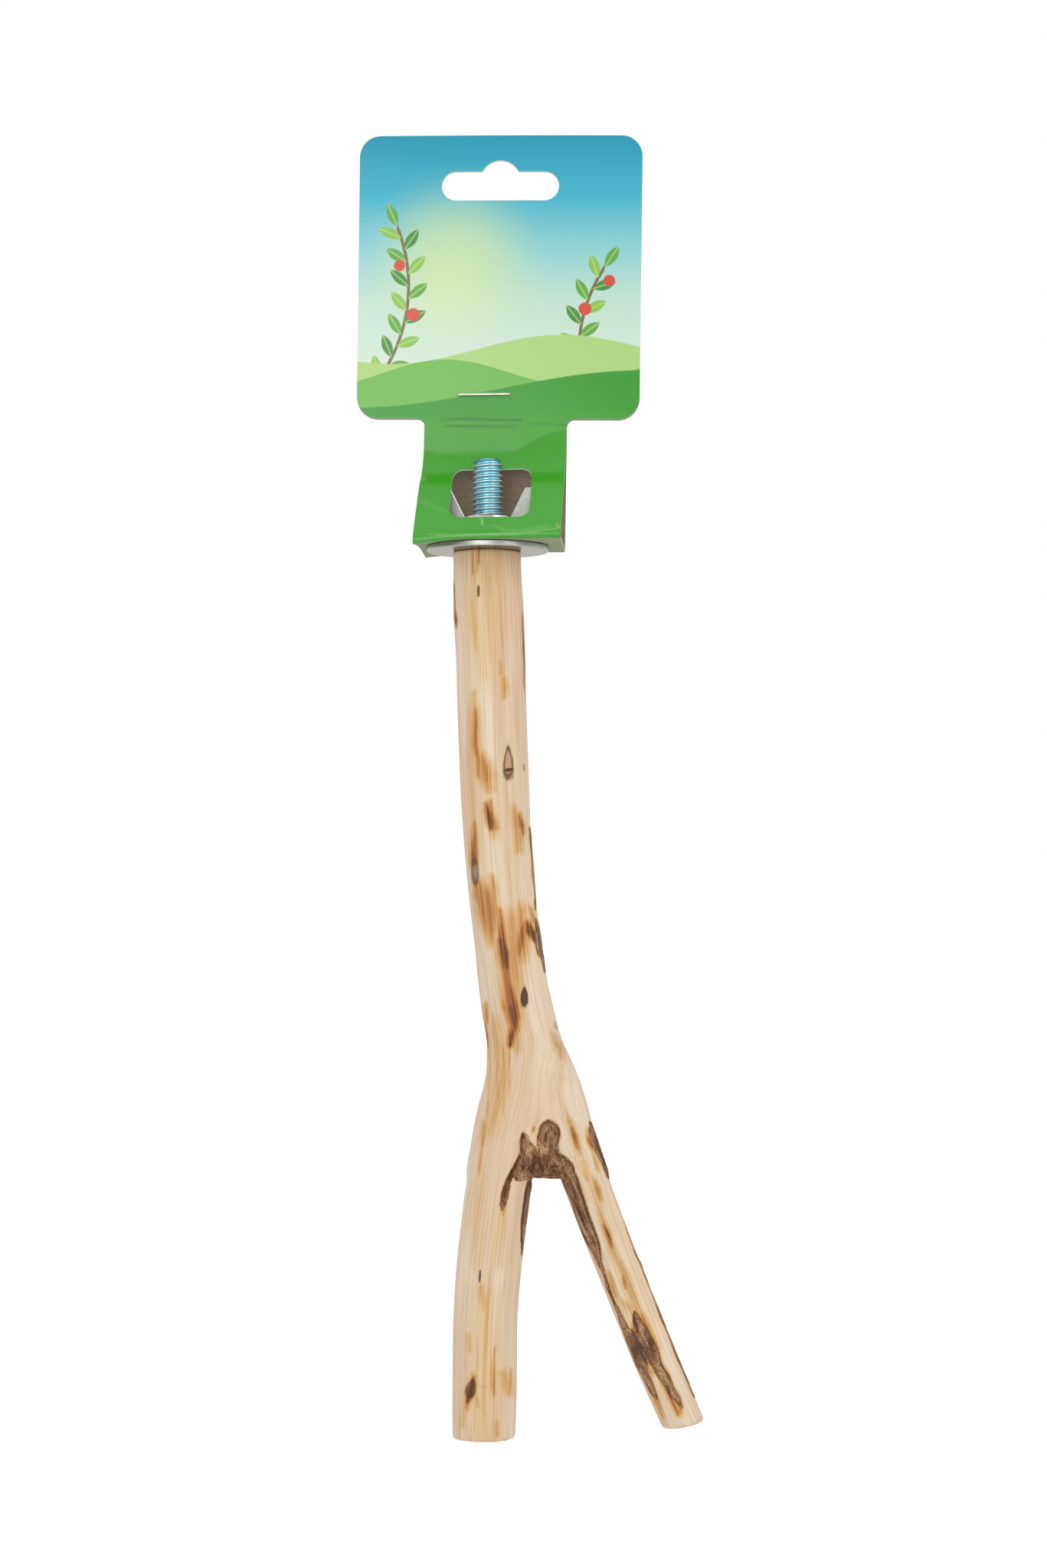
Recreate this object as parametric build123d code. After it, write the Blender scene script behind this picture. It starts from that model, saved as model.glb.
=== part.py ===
from build123d import *
import math
import os

# A forked branch perch with its clamping hardware and its folded retail card.
# Millimetres and degrees. The origin is on the stud's axis, on the top face of the lower washer.
# +Z runs up the stud, away from the wood, and -Y faces the viewer.

# Stud: a 5/16 inch hanger bolt, 18 threads to the inch
bolt_diameter = 7.94
thread_pitch = 1.411
thread_depth = 0.74
thread_crest = 0.2
thread_angle = 60.0
stud_reach = 22.5
stud_bevel = 0.9

# Lower half of the stud, a pointed wood screw below a short plain shank
shank_length = 3.0
screw_length = 24.0
screw_pitch = 2.82
screw_depth = 1.15
screw_crest = 0.3
screw_angle = 50.0
screw_point = 6.0

# Washers, one each side of the cage wire
washer_diameter = 31.75
washer_thickness = 1.6
washer_hole_clearance = 0.8
washer_edge = 0.35

# Wing nut
hub_wall = 2.6
hub_draft = 0.7
hub_height = 5.4
hub_edge = 0.4
nut_thread_clearance = 0.16
wing_height = 13.1
wing_span = 31.0
wing_gap = 19.4
wing_thickness = 2.0
wing_root_rise = 1.1
wing_root_top = 4.2
wing_waist_rise = 6.2
wing_waist_inset = 2.6
wing_corner_radius = 1.0
wing_tip_radius = 2.6
wing_edge = 0.5

# Card: one strip folded at the front and back of its lower panel, with a double header
card_thickness = 0.5
card_layer_gap = 0.1
card_fold_clearance = 0.9
card_fold_radius = 0.6
card_hole_clearance = 1.2
card_lip = 1.7
neck_width = 37.6
neck_fillet = 2.0
header_width = 74.7
header_height = 74.7
header_corner = 5.5
header_base = 34.1
header_behind_stud = 0.8
back_join_height = 38.0
slope_top = 20.9
bow_height = 15.7
bow_forward = 2.7

# How the card sits: a little off centre, turned on the stud and leaning to the right
card_shift = 0.8
header_shift = 0.5
card_yaw = -3.0
neck_lean = 1.5
header_lean = 0.7

# Window in the sloped panel, through which the stud comes out
window_width = 20.8
window_bottom = 5.8
window_top = 20.4
window_corner = 2.8

# Hanging slot in the header
slot_width = 31.0
slot_height = 7.7
slot_drop = 13.3
slot_crown_radius = 5.4
slot_crown_rise = 2.9
slot_crown_fillet = 0.8

# Staple through both layers of the header
staple_width = 14.5
staple_wire = 0.75
staple_height = 40.5
staple_shift = -1.4
staple_leg_clearance = 0.1
staple_bend_radius = 0.6
staple_return = 4.5

# Branch. A station is a drop below the sawn top, a sideways offset, a width and a thickness.
stem_stations = [
    (0.0, -0.2, 17.6, 17.0),
    (16.0, 0.2, 18.2, 17.6),
    (44.0, 1.2, 18.0, 17.6),
    (76.0, 2.6, 17.6, 17.2),
    (100.0, 5.1, 17.8, 17.4),
    (116.0, 7.1, 18.4, 17.6),
    (128.0, 9.6, 19.8, 18.0),
    (136.0, 11.2, 23.2, 18.2),
    (144.0, 11.7, 28.2, 18.0),
    (156.0, 12.2, 33.4, 16.8),
    (163.0, 13.1, 35.8, 13.6),
]
left_prong_stations = [
    (133.0, 8.8, 15.0, 15.0),
    (144.0, 6.3, 17.2, 17.0),
    (156.0, 4.1, 17.4, 17.2),
    (168.0, 2.5, 17.4, 17.0),
    (184.0, 0.6, 17.2, 17.0),
    (200.0, -0.6, 16.8, 16.6),
    (216.0, -0.8, 16.8, 16.6),
    (230.0, -1.0, 16.4, 16.2),
]
right_prong_stations = [
    (126.0, 10.8, 12.0, 12.0),
    (138.0, 16.0, 14.2, 14.2),
    (150.0, 20.5, 13.2, 13.0),
    (164.0, 25.4, 12.0, 12.0),
    (188.0, 34.5, 11.3, 11.3),
    (212.0, 44.2, 11.2, 11.2),
    (226.0, 50.3, 10.8, 10.8),
]
prong_end_rounding = 1.8
pilot_tip_clearance = 1.0

# Levels and places that follow from the sizes above
bolt_radius = bolt_diameter / 2
shank_radius = bolt_radius - thread_depth / 2
screw_core_radius = bolt_radius - screw_depth
branch_top = -washer_thickness
shank_bottom = branch_top - shank_length
screw_bottom = shank_bottom - screw_length
washer_hole_radius = bolt_radius + washer_hole_clearance / 2
hub_radius = bolt_radius + hub_wall
nut_base = card_thickness + washer_thickness
half_sheet = card_thickness / 2
front_fold = -(washer_diameter / 2 + card_fold_clearance + half_sheet)
back_fold = -front_fold
header_front = bolt_radius + header_behind_stud + half_sheet
header_back = header_front + card_thickness + card_layer_gap
header_top = header_base + header_height
header_reach = header_top + header_height
neck_top_shift = card_shift + header_base * math.tan(math.radians(neck_lean))
header_centre = (
    neck_top_shift + header_shift + header_height / 2 * math.tan(math.radians(header_lean)),
    header_base + header_height / 2,
)


def turned(points):
    """A solid of revolution about Z from its half section, as (radius, height) points."""
    section = make_face(Polyline([(radius, 0, height) for radius, height in points], close=True))
    return revolve(section, Axis.Z)


def rod(radius, bottom, top):
    """A plain upright cylinder on the stud's axis."""
    return Pos(0, 0, (bottom + top) / 2) * Cylinder(radius, top - bottom)


def threaded_rod(radius, depth, crest, angle, pitch, bottom, top):
    """A right-handed thread on its core. Ridges start on whole pitches, so that mating threads agree."""
    root = radius - depth
    foot = root - depth / 10
    flank = (radius - foot) * math.tan(math.radians(angle / 2))
    start = pitch * (math.floor(bottom / pitch) - 1)
    finish = pitch * (math.ceil(top / pitch) + 1)
    profile = Polyline(
        (foot, 0, start - crest / 2 - flank),
        (radius, 0, start - crest / 2),
        (radius, 0, start + crest / 2),
        (foot, 0, start + crest / 2 + flank),
        close=True,
    )
    path = Helix(pitch, finish - start, foot, center=(0, 0, start))
    ridge = sweep(make_face(profile), path=path, is_frenet=True)
    return rod(root, start - pitch, finish + pitch) + ridge


def make_hanger_bolt():
    """The stud: machine thread above the wood, plain shank and wood screw below it."""
    machine = threaded_rod(
        bolt_radius, thread_depth, thread_crest, thread_angle, thread_pitch, branch_top, stud_reach
    )
    machine = machine & turned(
        [
            (0, branch_top),
            (bolt_radius, branch_top),
            (bolt_radius, stud_reach - stud_bevel),
            (bolt_radius - stud_bevel, stud_reach),
            (0, stud_reach),
        ]
    )
    screw = threaded_rod(
        bolt_radius, screw_depth, screw_crest, screw_angle, screw_pitch, screw_bottom, shank_bottom
    )
    screw = screw & turned(
        [
            (0, screw_bottom),
            (bolt_radius, screw_bottom + screw_point),
            (bolt_radius, shank_bottom),
            (0, shank_bottom),
        ]
    )
    return machine + rod(shank_radius, shank_bottom, branch_top) + screw


def make_washer(bottom):
    """A wide flat washer with its stamped edges eased."""
    washer = rod(washer_diameter / 2, bottom, bottom + washer_thickness)
    washer -= rod(washer_hole_radius, bottom, bottom + washer_thickness)
    rims = washer.edges().filter_by(GeomType.CIRCLE)
    return fillet(rims, min(washer_edge, washer_thickness / 3))


def make_wing():
    """One wing, standing out along +X from inside the hub's wall."""
    root = bolt_radius + hub_wall / 2
    tip = wing_span / 2
    crown = nut_base + wing_height
    outline = FilletPolyline(
        (root, nut_base + wing_root_top),
        (wing_gap / 2, crown),
        (tip, crown),
        (tip - wing_waist_inset, nut_base + wing_waist_rise),
        (root, nut_base + wing_root_rise),
        radius=[wing_corner_radius, wing_tip_radius, wing_tip_radius],
    )
    face = make_face([*outline.edges(), Line(outline @ 1, outline @ 0)])
    wing = extrude(Plane.XZ * face, wing_thickness / 2, both=True)
    sides = wing.faces().sort_by(Axis.Y)
    rims = [e for e in sides[0].edges() + sides[-1].edges() if e.center().X > root + wing_edge]
    return fillet(rims, min(wing_edge, wing_thickness / 3))


def make_wing_nut():
    """Hub and two wings, turned with the card, with a running thread through the hub."""
    hub_top = nut_base + hub_height
    nut = turned(
        [
            (0, nut_base),
            (hub_radius - hub_edge, nut_base),
            (hub_radius, nut_base + hub_edge),
            (hub_radius - hub_draft, hub_top),
            (0, hub_top),
        ]
    )
    wing = make_wing()
    nut += Rot(0, 0, card_yaw) * wing
    nut += Rot(0, 0, card_yaw + 180) * wing
    return nut - threaded_rod(
        bolt_radius + nut_thread_clearance,
        thread_depth,
        thread_crest,
        thread_angle,
        thread_pitch,
        nut_base,
        hub_top,
    )


def card_fold():
    """The folded strip seen from its edge, as wide as the header and square to the stud."""
    line = FilletPolyline(
        (header_front, header_reach),
        (header_front, slope_top),
        (-bow_forward, bow_height),
        (front_fold, card_lip),
        (front_fold, half_sheet),
        (back_fold, half_sheet),
        (header_back, back_join_height),
        (header_back, header_reach),
        radius=card_fold_radius,
    )
    strip = Plane.YZ * trace(line, card_thickness)
    return extrude(strip, header_width, both=True)


def card_outline():
    """The card's front view: a square header on a narrower neck that leans a little."""
    neck_bottom = -card_thickness
    neck_top = header_base + header_corner
    half_neck = neck_width / 2
    slant = math.tan(math.radians(neck_lean))
    low = card_shift + neck_bottom * slant
    high = card_shift + neck_top * slant
    neck = make_face(
        Polyline(
            (low - half_neck, neck_bottom),
            (low + half_neck, neck_bottom),
            (high + half_neck, neck_top),
            (high - half_neck, neck_top),
            close=True,
        )
    )
    header = Rot(0, 0, -header_lean) * RectangleRounded(header_width, header_height, header_corner)
    outline = Pos(*header_centre) * header + neck
    inner = [
        outline.vertices().sort_by_distance((neck_top_shift + side * half_neck, header_base))[0]
        for side in (-1, 1)
    ]
    return fillet(inner, neck_fillet)


def hanging_slot():
    """The slot's front view: a long slot with a round crown, for a hook of one or two wires."""
    slot = SlotOverall(slot_width, slot_height)
    crown_middle = slot_height / 2 + slot_crown_rise - slot_crown_radius
    slot += Pos(0, crown_middle) * Circle(slot_crown_radius)
    rise = slot_height / 2 - crown_middle
    half_crown = math.sqrt(slot_crown_radius**2 - rise**2)
    shoulders = [
        slot.vertices().sort_by_distance((side * half_crown, slot_height / 2))[0] for side in (-1, 1)
    ]
    slot = fillet(shoulders, slot_crown_fillet)
    drop = Pos(0, header_height / 2 - slot_drop)
    return Pos(*header_centre) * Rot(0, 0, -header_lean) * drop * slot


def staple_legs():
    """The middles of the staple's two legs, along X."""
    reach = (staple_width - staple_wire) / 2
    return staple_shift - reach, staple_shift + reach


def make_header_card():
    """The folded card with its slot, window, stud hole and staple holes."""
    through = header_width
    card = card_fold() & extrude(Plane.XZ * card_outline(), through, both=True)
    card -= extrude(Plane.XZ * hanging_slot(), through, both=True)
    window_middle = (window_bottom + window_top) / 2
    window = RectangleRounded(window_width, window_top - window_bottom, window_corner)
    window_shift = card_shift + window_middle * math.tan(math.radians(neck_lean))
    window_plane = Plane.XZ.offset(-(header_front + card_thickness))
    card -= extrude(window_plane * Pos(window_shift, window_middle) * window, through)
    card -= rod(bolt_radius + card_hole_clearance / 2, -card_thickness, 2 * card_thickness)
    leg_hole = extrude(Plane.XZ * Circle(staple_wire / 2 + staple_leg_clearance), through, both=True)
    for leg in staple_legs():
        card -= Pos(leg, 0, staple_height) * leg_hole
    return Rot(0, 0, card_yaw) * card


def make_staple():
    """A wire staple, its crown on the front of the header and its ends turned in behind."""
    left, right = staple_legs()
    crown = header_front - half_sheet - staple_wire / 2
    clinch = header_back + half_sheet + staple_wire / 2
    path = FilletPolyline(
        (left + staple_return, clinch, staple_height),
        (left, clinch, staple_height),
        (left, crown, staple_height),
        (right, crown, staple_height),
        (right, clinch, staple_height),
        (right - staple_return, clinch, staple_height),
        radius=staple_bend_radius,
    )
    section = Plane(path @ 0, z_dir=path % 0) * Circle(staple_wire / 2)
    return Rot(0, 0, card_yaw) * sweep(section, path=path)


def limb(stations, lean):
    """A round limb lofted through its stations, each section tilted to the limb's lean."""
    sections = []
    for drop, offset, width, thickness in stations:
        tilt = math.radians(lean)
        along = (math.sin(tilt), 0, -math.cos(tilt))
        across = (math.cos(tilt), 0, math.sin(tilt))
        plane = Plane((offset, 0, branch_top - drop), x_dir=across, z_dir=along)
        sections.append(plane * Ellipse(width / 2, thickness / 2))
    return loft(sections)


def prong_lean(stations):
    """The angle from upright of the line from a limb's first station to its last."""
    run = stations[-1][1] - stations[0][1]
    fall = stations[-1][0] - stations[0][0]
    return math.degrees(math.atan2(run, fall))


def make_forked_branch():
    """Stem and two prongs in one piece of wood, bored for the stud."""
    left = limb(left_prong_stations, 0)
    right = limb(right_prong_stations, prong_lean(right_prong_stations))
    left = fillet(left.faces().sort_by(Axis.Z)[0].edges(), prong_end_rounding)
    right = fillet(right.faces().sort_by(Axis.Z)[0].edges(), prong_end_rounding)
    branch = limb(stem_stations, 0) + left + right
    branch -= rod(shank_radius, shank_bottom, branch_top)
    return branch - rod(screw_core_radius, screw_bottom - pilot_tip_clearance, shank_bottom)


pieces = {
    "forked_branch": make_forked_branch(),
    "hanger_bolt": make_hanger_bolt(),
    "lower_washer": make_washer(branch_top),
    "upper_washer": make_washer(card_thickness),
    "wing_nut": make_wing_nut(),
    "header_card": make_header_card(),
    "staple": make_staple(),
}

os.makedirs("parts", exist_ok=True)
for name, piece in pieces.items():
    piece.label = name
    export_step(piece, f"parts/{name}.step")
    print(name, round(piece.volume, 1), "mm3")
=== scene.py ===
import math
import bpy
import numpy as np
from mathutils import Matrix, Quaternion, Vector
from mathutils.geometry import delaunay_2d_cdt


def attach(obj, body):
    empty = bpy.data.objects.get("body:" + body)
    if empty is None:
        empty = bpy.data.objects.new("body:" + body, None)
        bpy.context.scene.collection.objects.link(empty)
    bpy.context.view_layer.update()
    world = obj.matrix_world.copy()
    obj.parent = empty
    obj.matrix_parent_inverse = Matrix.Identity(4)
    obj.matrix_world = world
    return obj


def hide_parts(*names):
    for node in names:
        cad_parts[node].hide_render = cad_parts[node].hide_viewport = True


# Forked branch perch hanging in its folded card. Shapes are worked out in mm and put into metres at the end.
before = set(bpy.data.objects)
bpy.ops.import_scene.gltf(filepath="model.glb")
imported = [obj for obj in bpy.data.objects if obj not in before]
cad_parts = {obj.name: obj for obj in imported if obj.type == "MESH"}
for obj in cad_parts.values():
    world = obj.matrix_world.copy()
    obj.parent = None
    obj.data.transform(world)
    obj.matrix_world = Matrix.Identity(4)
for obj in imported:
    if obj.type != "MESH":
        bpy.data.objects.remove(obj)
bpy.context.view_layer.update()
print("frame loaded:", len(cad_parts), "nodes")

# Camera: level, looking along Y, at half the height of card and branch together
shot = {
    "imageSize": (1367, 2048),
    "focalPixels": 2753.0,
    "eye": (9.3, -551.0, -62.2),
    "sensor": 36.0,
}
cameraData = bpy.data.cameras.new("camera")
cameraData.sensor_fit = "VERTICAL"
cameraData.sensor_height = shot["sensor"]
cameraData.lens = shot["sensor"] * shot["focalPixels"] / shot["imageSize"][1]
cameraData.clip_start = 0.01
camera = bpy.data.objects.new("camera", cameraData)
camera.location = [value / 1000 for value in shot["eye"]]
camera.rotation_euler = (math.radians(90), 0, 0)
bpy.context.collection.objects.link(camera)
bpy.context.scene.camera = camera
bpy.context.scene.view_settings.view_transform = "Standard"


# sRGB hex to linear: the standard curve, a straight foot below 0.04045 and a 2.4 power above it
def ink(hexCode):
    parts = [int(hexCode[i:i + 2], 16) / 255 for i in (1, 3, 5)]
    return [p / 12.92 if p <= 0.04045 else ((p + 0.055) / 1.055) ** 2.4 for p in parts] + [1.0]


# Adds one shader node, sets its properties or a ramp's stops, and fills its inputs with values, sockets or
# other nodes, which stand for their first output
def addNode(tree, kind, feeds=None, stops=(), **settings):
    made = tree.nodes.new("ShaderNode" + kind)
    for name, value in settings.items():
        setattr(made, name, value)
    for name, value in (feeds or {}).items():
        if isinstance(value, bpy.types.Node):
            value = value.outputs[0]
        if isinstance(value, bpy.types.NodeSocket):
            tree.links.new(value, made.inputs[name])
        else:
            made.inputs[name].default_value = value
    for position, colour in stops[1:-1]:
        made.color_ramp.elements.new(position).color = ink(colour)
    for index in (0, -1) if stops else ():
        end = made.color_ramp.elements[index]
        end.position, end.color = stops[index][0], ink(stops[index][1])
    return made


# An empty material with its surface shader, whose plain values go straight on the shader's sockets
def startMaterial(name, **plain):
    material = bpy.data.materials.new(name)
    material.use_nodes = True
    tree = material.node_tree
    shader = tree.nodes["Principled BSDF"]
    for socket, value in plain.items():
        shader.inputs[socket.replace("_", " ")].default_value = value
    return material, tree, shader


# A mesh object in metres from mm points and faces, at the origin
def makePiece(name, points, faces):
    mesh = bpy.data.meshes.new(name)
    mesh.from_pydata((np.asarray(points) / 1000).tolist(), [], faces)
    mesh.polygons.foreach_set("use_smooth", np.full(len(mesh.polygons), True))
    piece = bpy.data.objects.new(name, mesh)
    bpy.context.collection.objects.link(piece)
    return piece


# Stores one number or one vector a point on the mesh, for the materials to read
def storeOnPoints(piece, name, values):
    values = np.asarray(values, np.float32)
    kind, field = ("FLOAT_VECTOR", "vector") if values.ndim == 2 else ("FLOAT", "value")
    piece.data.attributes.new(name, kind, "POINT").data.foreach_set(field, values.ravel())


# Smoothstep from low to high: 0 below, 1 above, 3t2 - 2t3 between; low may be the larger
def ramp(low, high, values):
    t = np.clip((values - low) / (high - low), 0, 1)
    return t * t * (3 - 2 * t)


# Value noise from -1 to 1: random heights on a lattice of that size in mm, eased between its eight corners.
# Three large primes pick each corner's height from one table.
def lumps(points, size, seed):
    table = np.random.default_rng(seed).uniform(-1, 1, 4096)
    place = np.asarray(points) / np.asarray(size, float)
    cell = np.floor(place).astype(np.int64)
    part = ramp(0, 1, place - cell)
    total = np.zeros(len(place))
    for corner in np.ndindex(2, 2, 2):
        key = (cell + corner) @ np.array([73856093, 19349663, 83492791])
        share = np.where(corner, part, 1 - part).prod(1)
        total += share * table[key % len(table)]
    return total


# Several value noises added up: each is a height, a lattice size in mm and a seed
def heaped(points, layers):
    return sum(height * lumps(points, size, seed) for height, size, seed in layers)


# Where a point shows in the picture, in its pixels: offset from the eye, divided by the distance along Y
def seenAt(points):
    away = points - np.array(shot["eye"])
    scale = shot["focalPixels"] / away[:, 1]
    return np.stack([
        shot["imageSize"][0] / 2 + away[:, 0] * scale,
        shot["imageSize"][1] / 2 - away[:, 2] * scale,
    ], 1)


# Marks laid over a picture: each is a strength, a softness and a line of (x, y, half width).
# A point's depth inside a line is the half width at its nearest place less its distance from it.
# Strengths above 0 take the larger value, and those below 0 rub out what is there. With a run-out, each end
# goes on by that share of its last stretch and fades to nothing there. A spread multiplies every softness.
def layMarks(places, marks, runOut=0.0, spread=1.0):
    value = np.zeros(len(places))
    for strength, soft, line in marks:
        line, soft = np.array(line, float), soft * spread
        tips = line[[0, -1]] * (1 + runOut) - line[[1, -2]] * runOut
        tips[:, 2] = -soft
        line = np.concatenate([tips[:1], line, tips[1:]])
        depth = np.full(len(places), -1e6)
        for start, end in zip(line[:-1], line[1:]):
            run = end[:2] - start[:2]
            t = np.clip(((places - start[:2]) @ run) / max(run @ run, 1e-9), 0, 1)
            gap = np.linalg.norm(places - start[:2] - t[:, None] * run, axis=1)
            depth = np.maximum(depth, start[2] + (end[2] - start[2]) * t - gap)
        cover = ramp(-soft, soft, depth)
        if strength > 0:
            value = np.maximum(value, strength * cover)
        else:
            value = value * (1 + strength * cover)
    return value


# Cubic through knots: between two knots a Hermite curve, its slopes the mean of the chords on each side
def eased(knots, values, at):
    chord = np.diff(values) / np.diff(knots)
    slope = np.concatenate([chord[:1], (chord[1:] + chord[:-1]) / 2, chord[-1:]])
    k = np.clip(np.searchsorted(knots, at) - 1, 0, len(knots) - 2)
    step = knots[k + 1] - knots[k]
    t = np.clip((at - knots[k]) / step, 0, 1)
    first = (1 + 2 * t) * (1 - t) ** 2 * values[k] + t * (1 - t) ** 2 * step * slope[k]
    return first + t * t * (3 - 2 * t) * values[k + 1] + t * t * (t - 1) * step * slope[k + 1]


# Branch: three limbs. A station is a drop below the sawn top, a sideways offset, a width and a thickness.
branch = {
    "top": -1.6,
    "stem": [
        (0, -0.2, 17.6, 17.0), (4, -0.2, 17.6, 17.1), (16, 0.2, 18.3, 17.6), (28, 0.8, 18.0, 17.6),
        (44, 1.2, 18.0, 17.6), (60, 1.8, 18.0, 17.5), (76, 2.6, 17.6, 17.2), (92, 4.0, 17.6, 17.2),
        (104, 5.5, 17.8, 17.4), (112, 6.5, 18.2, 17.6), (120, 7.9, 19.0, 17.8), (128, 9.6, 19.8, 18.0),
        (132, 10.4, 21.4, 18.1), (136, 11.2, 23.1, 18.2), (140, 11.8, 25.2, 18.1), (144, 11.95, 27.7, 18.0),
        (150, 12.0, 30.5, 17.4), (156, 12.4, 33.0, 16.8), (160, 12.7, 35.0, 15.2), (162.9, 13.1, 35.6, 13.6),
    ],
    "left": [
        (133, 8.8, 15.0, 15.0), (144, 6.55, 16.8, 17.0), (156, 4.3, 17.0, 17.2), (168, 2.5, 17.4, 17.0),
        (176, 1.5, 17.3, 17.0), (184, 0.6, 17.2, 17.0), (192, -0.1, 17.0, 16.8), (200, -0.6, 16.8, 16.6),
        (216, -0.8, 16.8, 16.6), (224, -0.9, 16.7, 16.5), (231.6, -1.0, 16.4, 16.2),
    ],
    "right": [
        (126, 10.8, 12.0, 12.0), (138, 16.0, 14.2, 14.2), (150, 20.2, 12.5, 13.0), (164, 25.3, 11.8, 12.0),
        (176, 29.8, 11.6, 11.6), (188, 34.5, 11.3, 11.3), (200, 39.3, 11.2, 11.2), (212, 44.2, 11.2, 11.2),
        (228.0, 51.1, 10.8, 10.8),
    ],
    "rightLean": 21.56,       # degrees from upright
    "rightCut": (50.9, 228.2, 11.0),   # its sawn end: offset, drop and tilt of the cut in degrees
    "cutRounding": 1.1,
    "cutSlope": 9.0,          # both sawn ends rise by this many degrees towards the front
    "crotchRounding": 0.9,
    "topRounding": 0.35,
    "weld": 1.6,              # how softly the limbs run into each other
    "voxel": 0.49,
    "slides": (7, 0.5),       # turns in which the skin slides onto the smooth surface, and their longest step
    "barkRise": 0.14,         # in mm, between these strengths of its mark
    "barkSpan": (0.1, 0.7),
    "barkStain": 0.86,        # how dark the wood is along the edge of the bark
    "barkStainSpan": (0.05, 0.6),
    "knotSink": 0.12,
    "knotSpan": (0.4, 0.9),
    "oneLine": (12, 2),       # the grain follows so many stations of the stem, then the left prong from there
    "forkDrop": 142.0,        # where the right prong's grain meets the stem's
    "forkSpan": (126, 148),   # drops over which its grain takes over
    "forkBlend": 4.0,
    "sawnDrop": (222, 225),   # the sawn ends are below this and face down by this share
    "sawnFacing": (0.8, 0.95),
    "frontFacing": (0.32, 0.06),    # how far a normal points back where the front's marks give way, and how
    "frontStray": 0.1,              # far that line strays
    "calm": 3.0,              # the sawn top stays flat under its washer for this far down
    # noises: height, lattice size in mm and seed; the two strays share one size
    "stray": (2.5, 2.5, 5),
    "straySeeds": (11, 12),
    "comb": [(1.0, (0.8, 0.8, 15), 13), (0.6, (1.9, 1.9, 24), 14)],
    "swell": [(0.13, (7, 7, 34), 21), (0.05, (2.2, 2.2, 16), 22)],
    "crust": [(0.13, (1.3, 1.3, 6), 23), (0.09, (0.9, 0.9, 2), 24)],
    # how far marks are combed out along the grain and how far they stray, in pixels, their run-out and spread
    "frayed": {"stain": (3.0, 1.4, 0.6, 1.25), "bark": (2.8, 1.8, 0.15, 1.0), "knotAndShade": (0.5, 0.6, 0.0, 1.0),
               "pale": (1.0, 0.5, 0.2, 1.0), "plain": (0.0, 0.0, 0.0, 1.0)},
}
limbs = {name: np.array(branch[name], float).T for name in ("stem", "left", "right")}
leans = {"stem": 0.0, "left": 0.0, "right": math.radians(branch["rightLean"])}


# A limb's own measures at points (across, depth, along): its axis starts at the first station and leans
def limbPlace(name, points):
    drops, offsets = limbs[name][0], limbs[name][1]
    lean = leans[name]
    x = points[:, 0] - offsets[0]
    drop = branch["top"] - points[:, 2] - drops[0]
    along = x * math.sin(lean) + drop * math.cos(lean)
    across = x * math.cos(lean) - drop * math.sin(lean)
    knots = (offsets - offsets[0]) * math.sin(lean) + (drops - drops[0]) * math.cos(lean)
    middles = (offsets - offsets[0]) * math.cos(lean) - (drops - drops[0]) * math.sin(lean)
    return across - eased(knots, middles, along), points[:, 1], along, knots


# Rounded corner between two half spaces: beyond both by less than r, the distance from the r circle
def roundedMax(a, b, r):
    outside = np.hypot(np.maximum(a + r, 0), np.maximum(b + r, 0))
    return np.minimum(np.maximum(a, b), -r) * (np.maximum(a, b) < -r) + \
        (outside - r) * (np.maximum(a, b) >= -r)


# Distance from a limb: its oval section grown or shrunk to reach the point, then cut by the end planes
def limbDepth(name, points):
    across, depth, along, knots = limbPlace(name, points)
    halfWidth = eased(knots, limbs[name][2], along) / 2
    halfThick = eased(knots, limbs[name][3], along) / 2
    side = (np.hypot(across / halfWidth, depth / halfThick) - 1) * np.minimum(halfWidth, halfThick)
    drop = branch["top"] - points[:, 2]
    frontRise = np.maximum(-depth, 0) * math.tan(math.radians(branch["cutSlope"]))
    if name == "stem":
        side = roundedMax(side, -drop, branch["topRounding"])
        return roundedMax(side, drop - limbs[name][0][-1], branch["crotchRounding"])
    if name == "left":
        side = roundedMax(side, drop - limbs[name][0][-1] + frontRise, branch["cutRounding"])
    else:
        offset, cutDrop, tilt = branch["rightCut"]
        tilt = math.radians(tilt)
        past = (points[:, 0] - offset) * math.sin(tilt) + (drop - cutDrop) * math.cos(tilt) + frontRise
        side = roundedMax(side, past, branch["cutRounding"])
    return np.maximum(side, -along)


# Smooth union: the lesser of two distances, less a quarter of the weld where they are alike
def softUnion(a, b, weld):
    mix = np.maximum(weld - np.abs(a - b), 0) / weld
    return np.minimum(a, b) - mix * mix * weld / 4


# Distance from the whole branch: the nearer prong, softly joined to the stem
def branchDepth(points):
    prongs = np.minimum(limbDepth("left", points), limbDepth("right", points))
    return softUnion(limbDepth("stem", points), prongs, branch["weld"])


# Slope of the branch's distance, by small steps each way along the axes
def branchSlope(points, step=0.04):
    shifts = np.eye(3) * step
    return np.stack([branchDepth(points + s) - branchDepth(points - s) for s in shifts], 1) / (2 * step)


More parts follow.
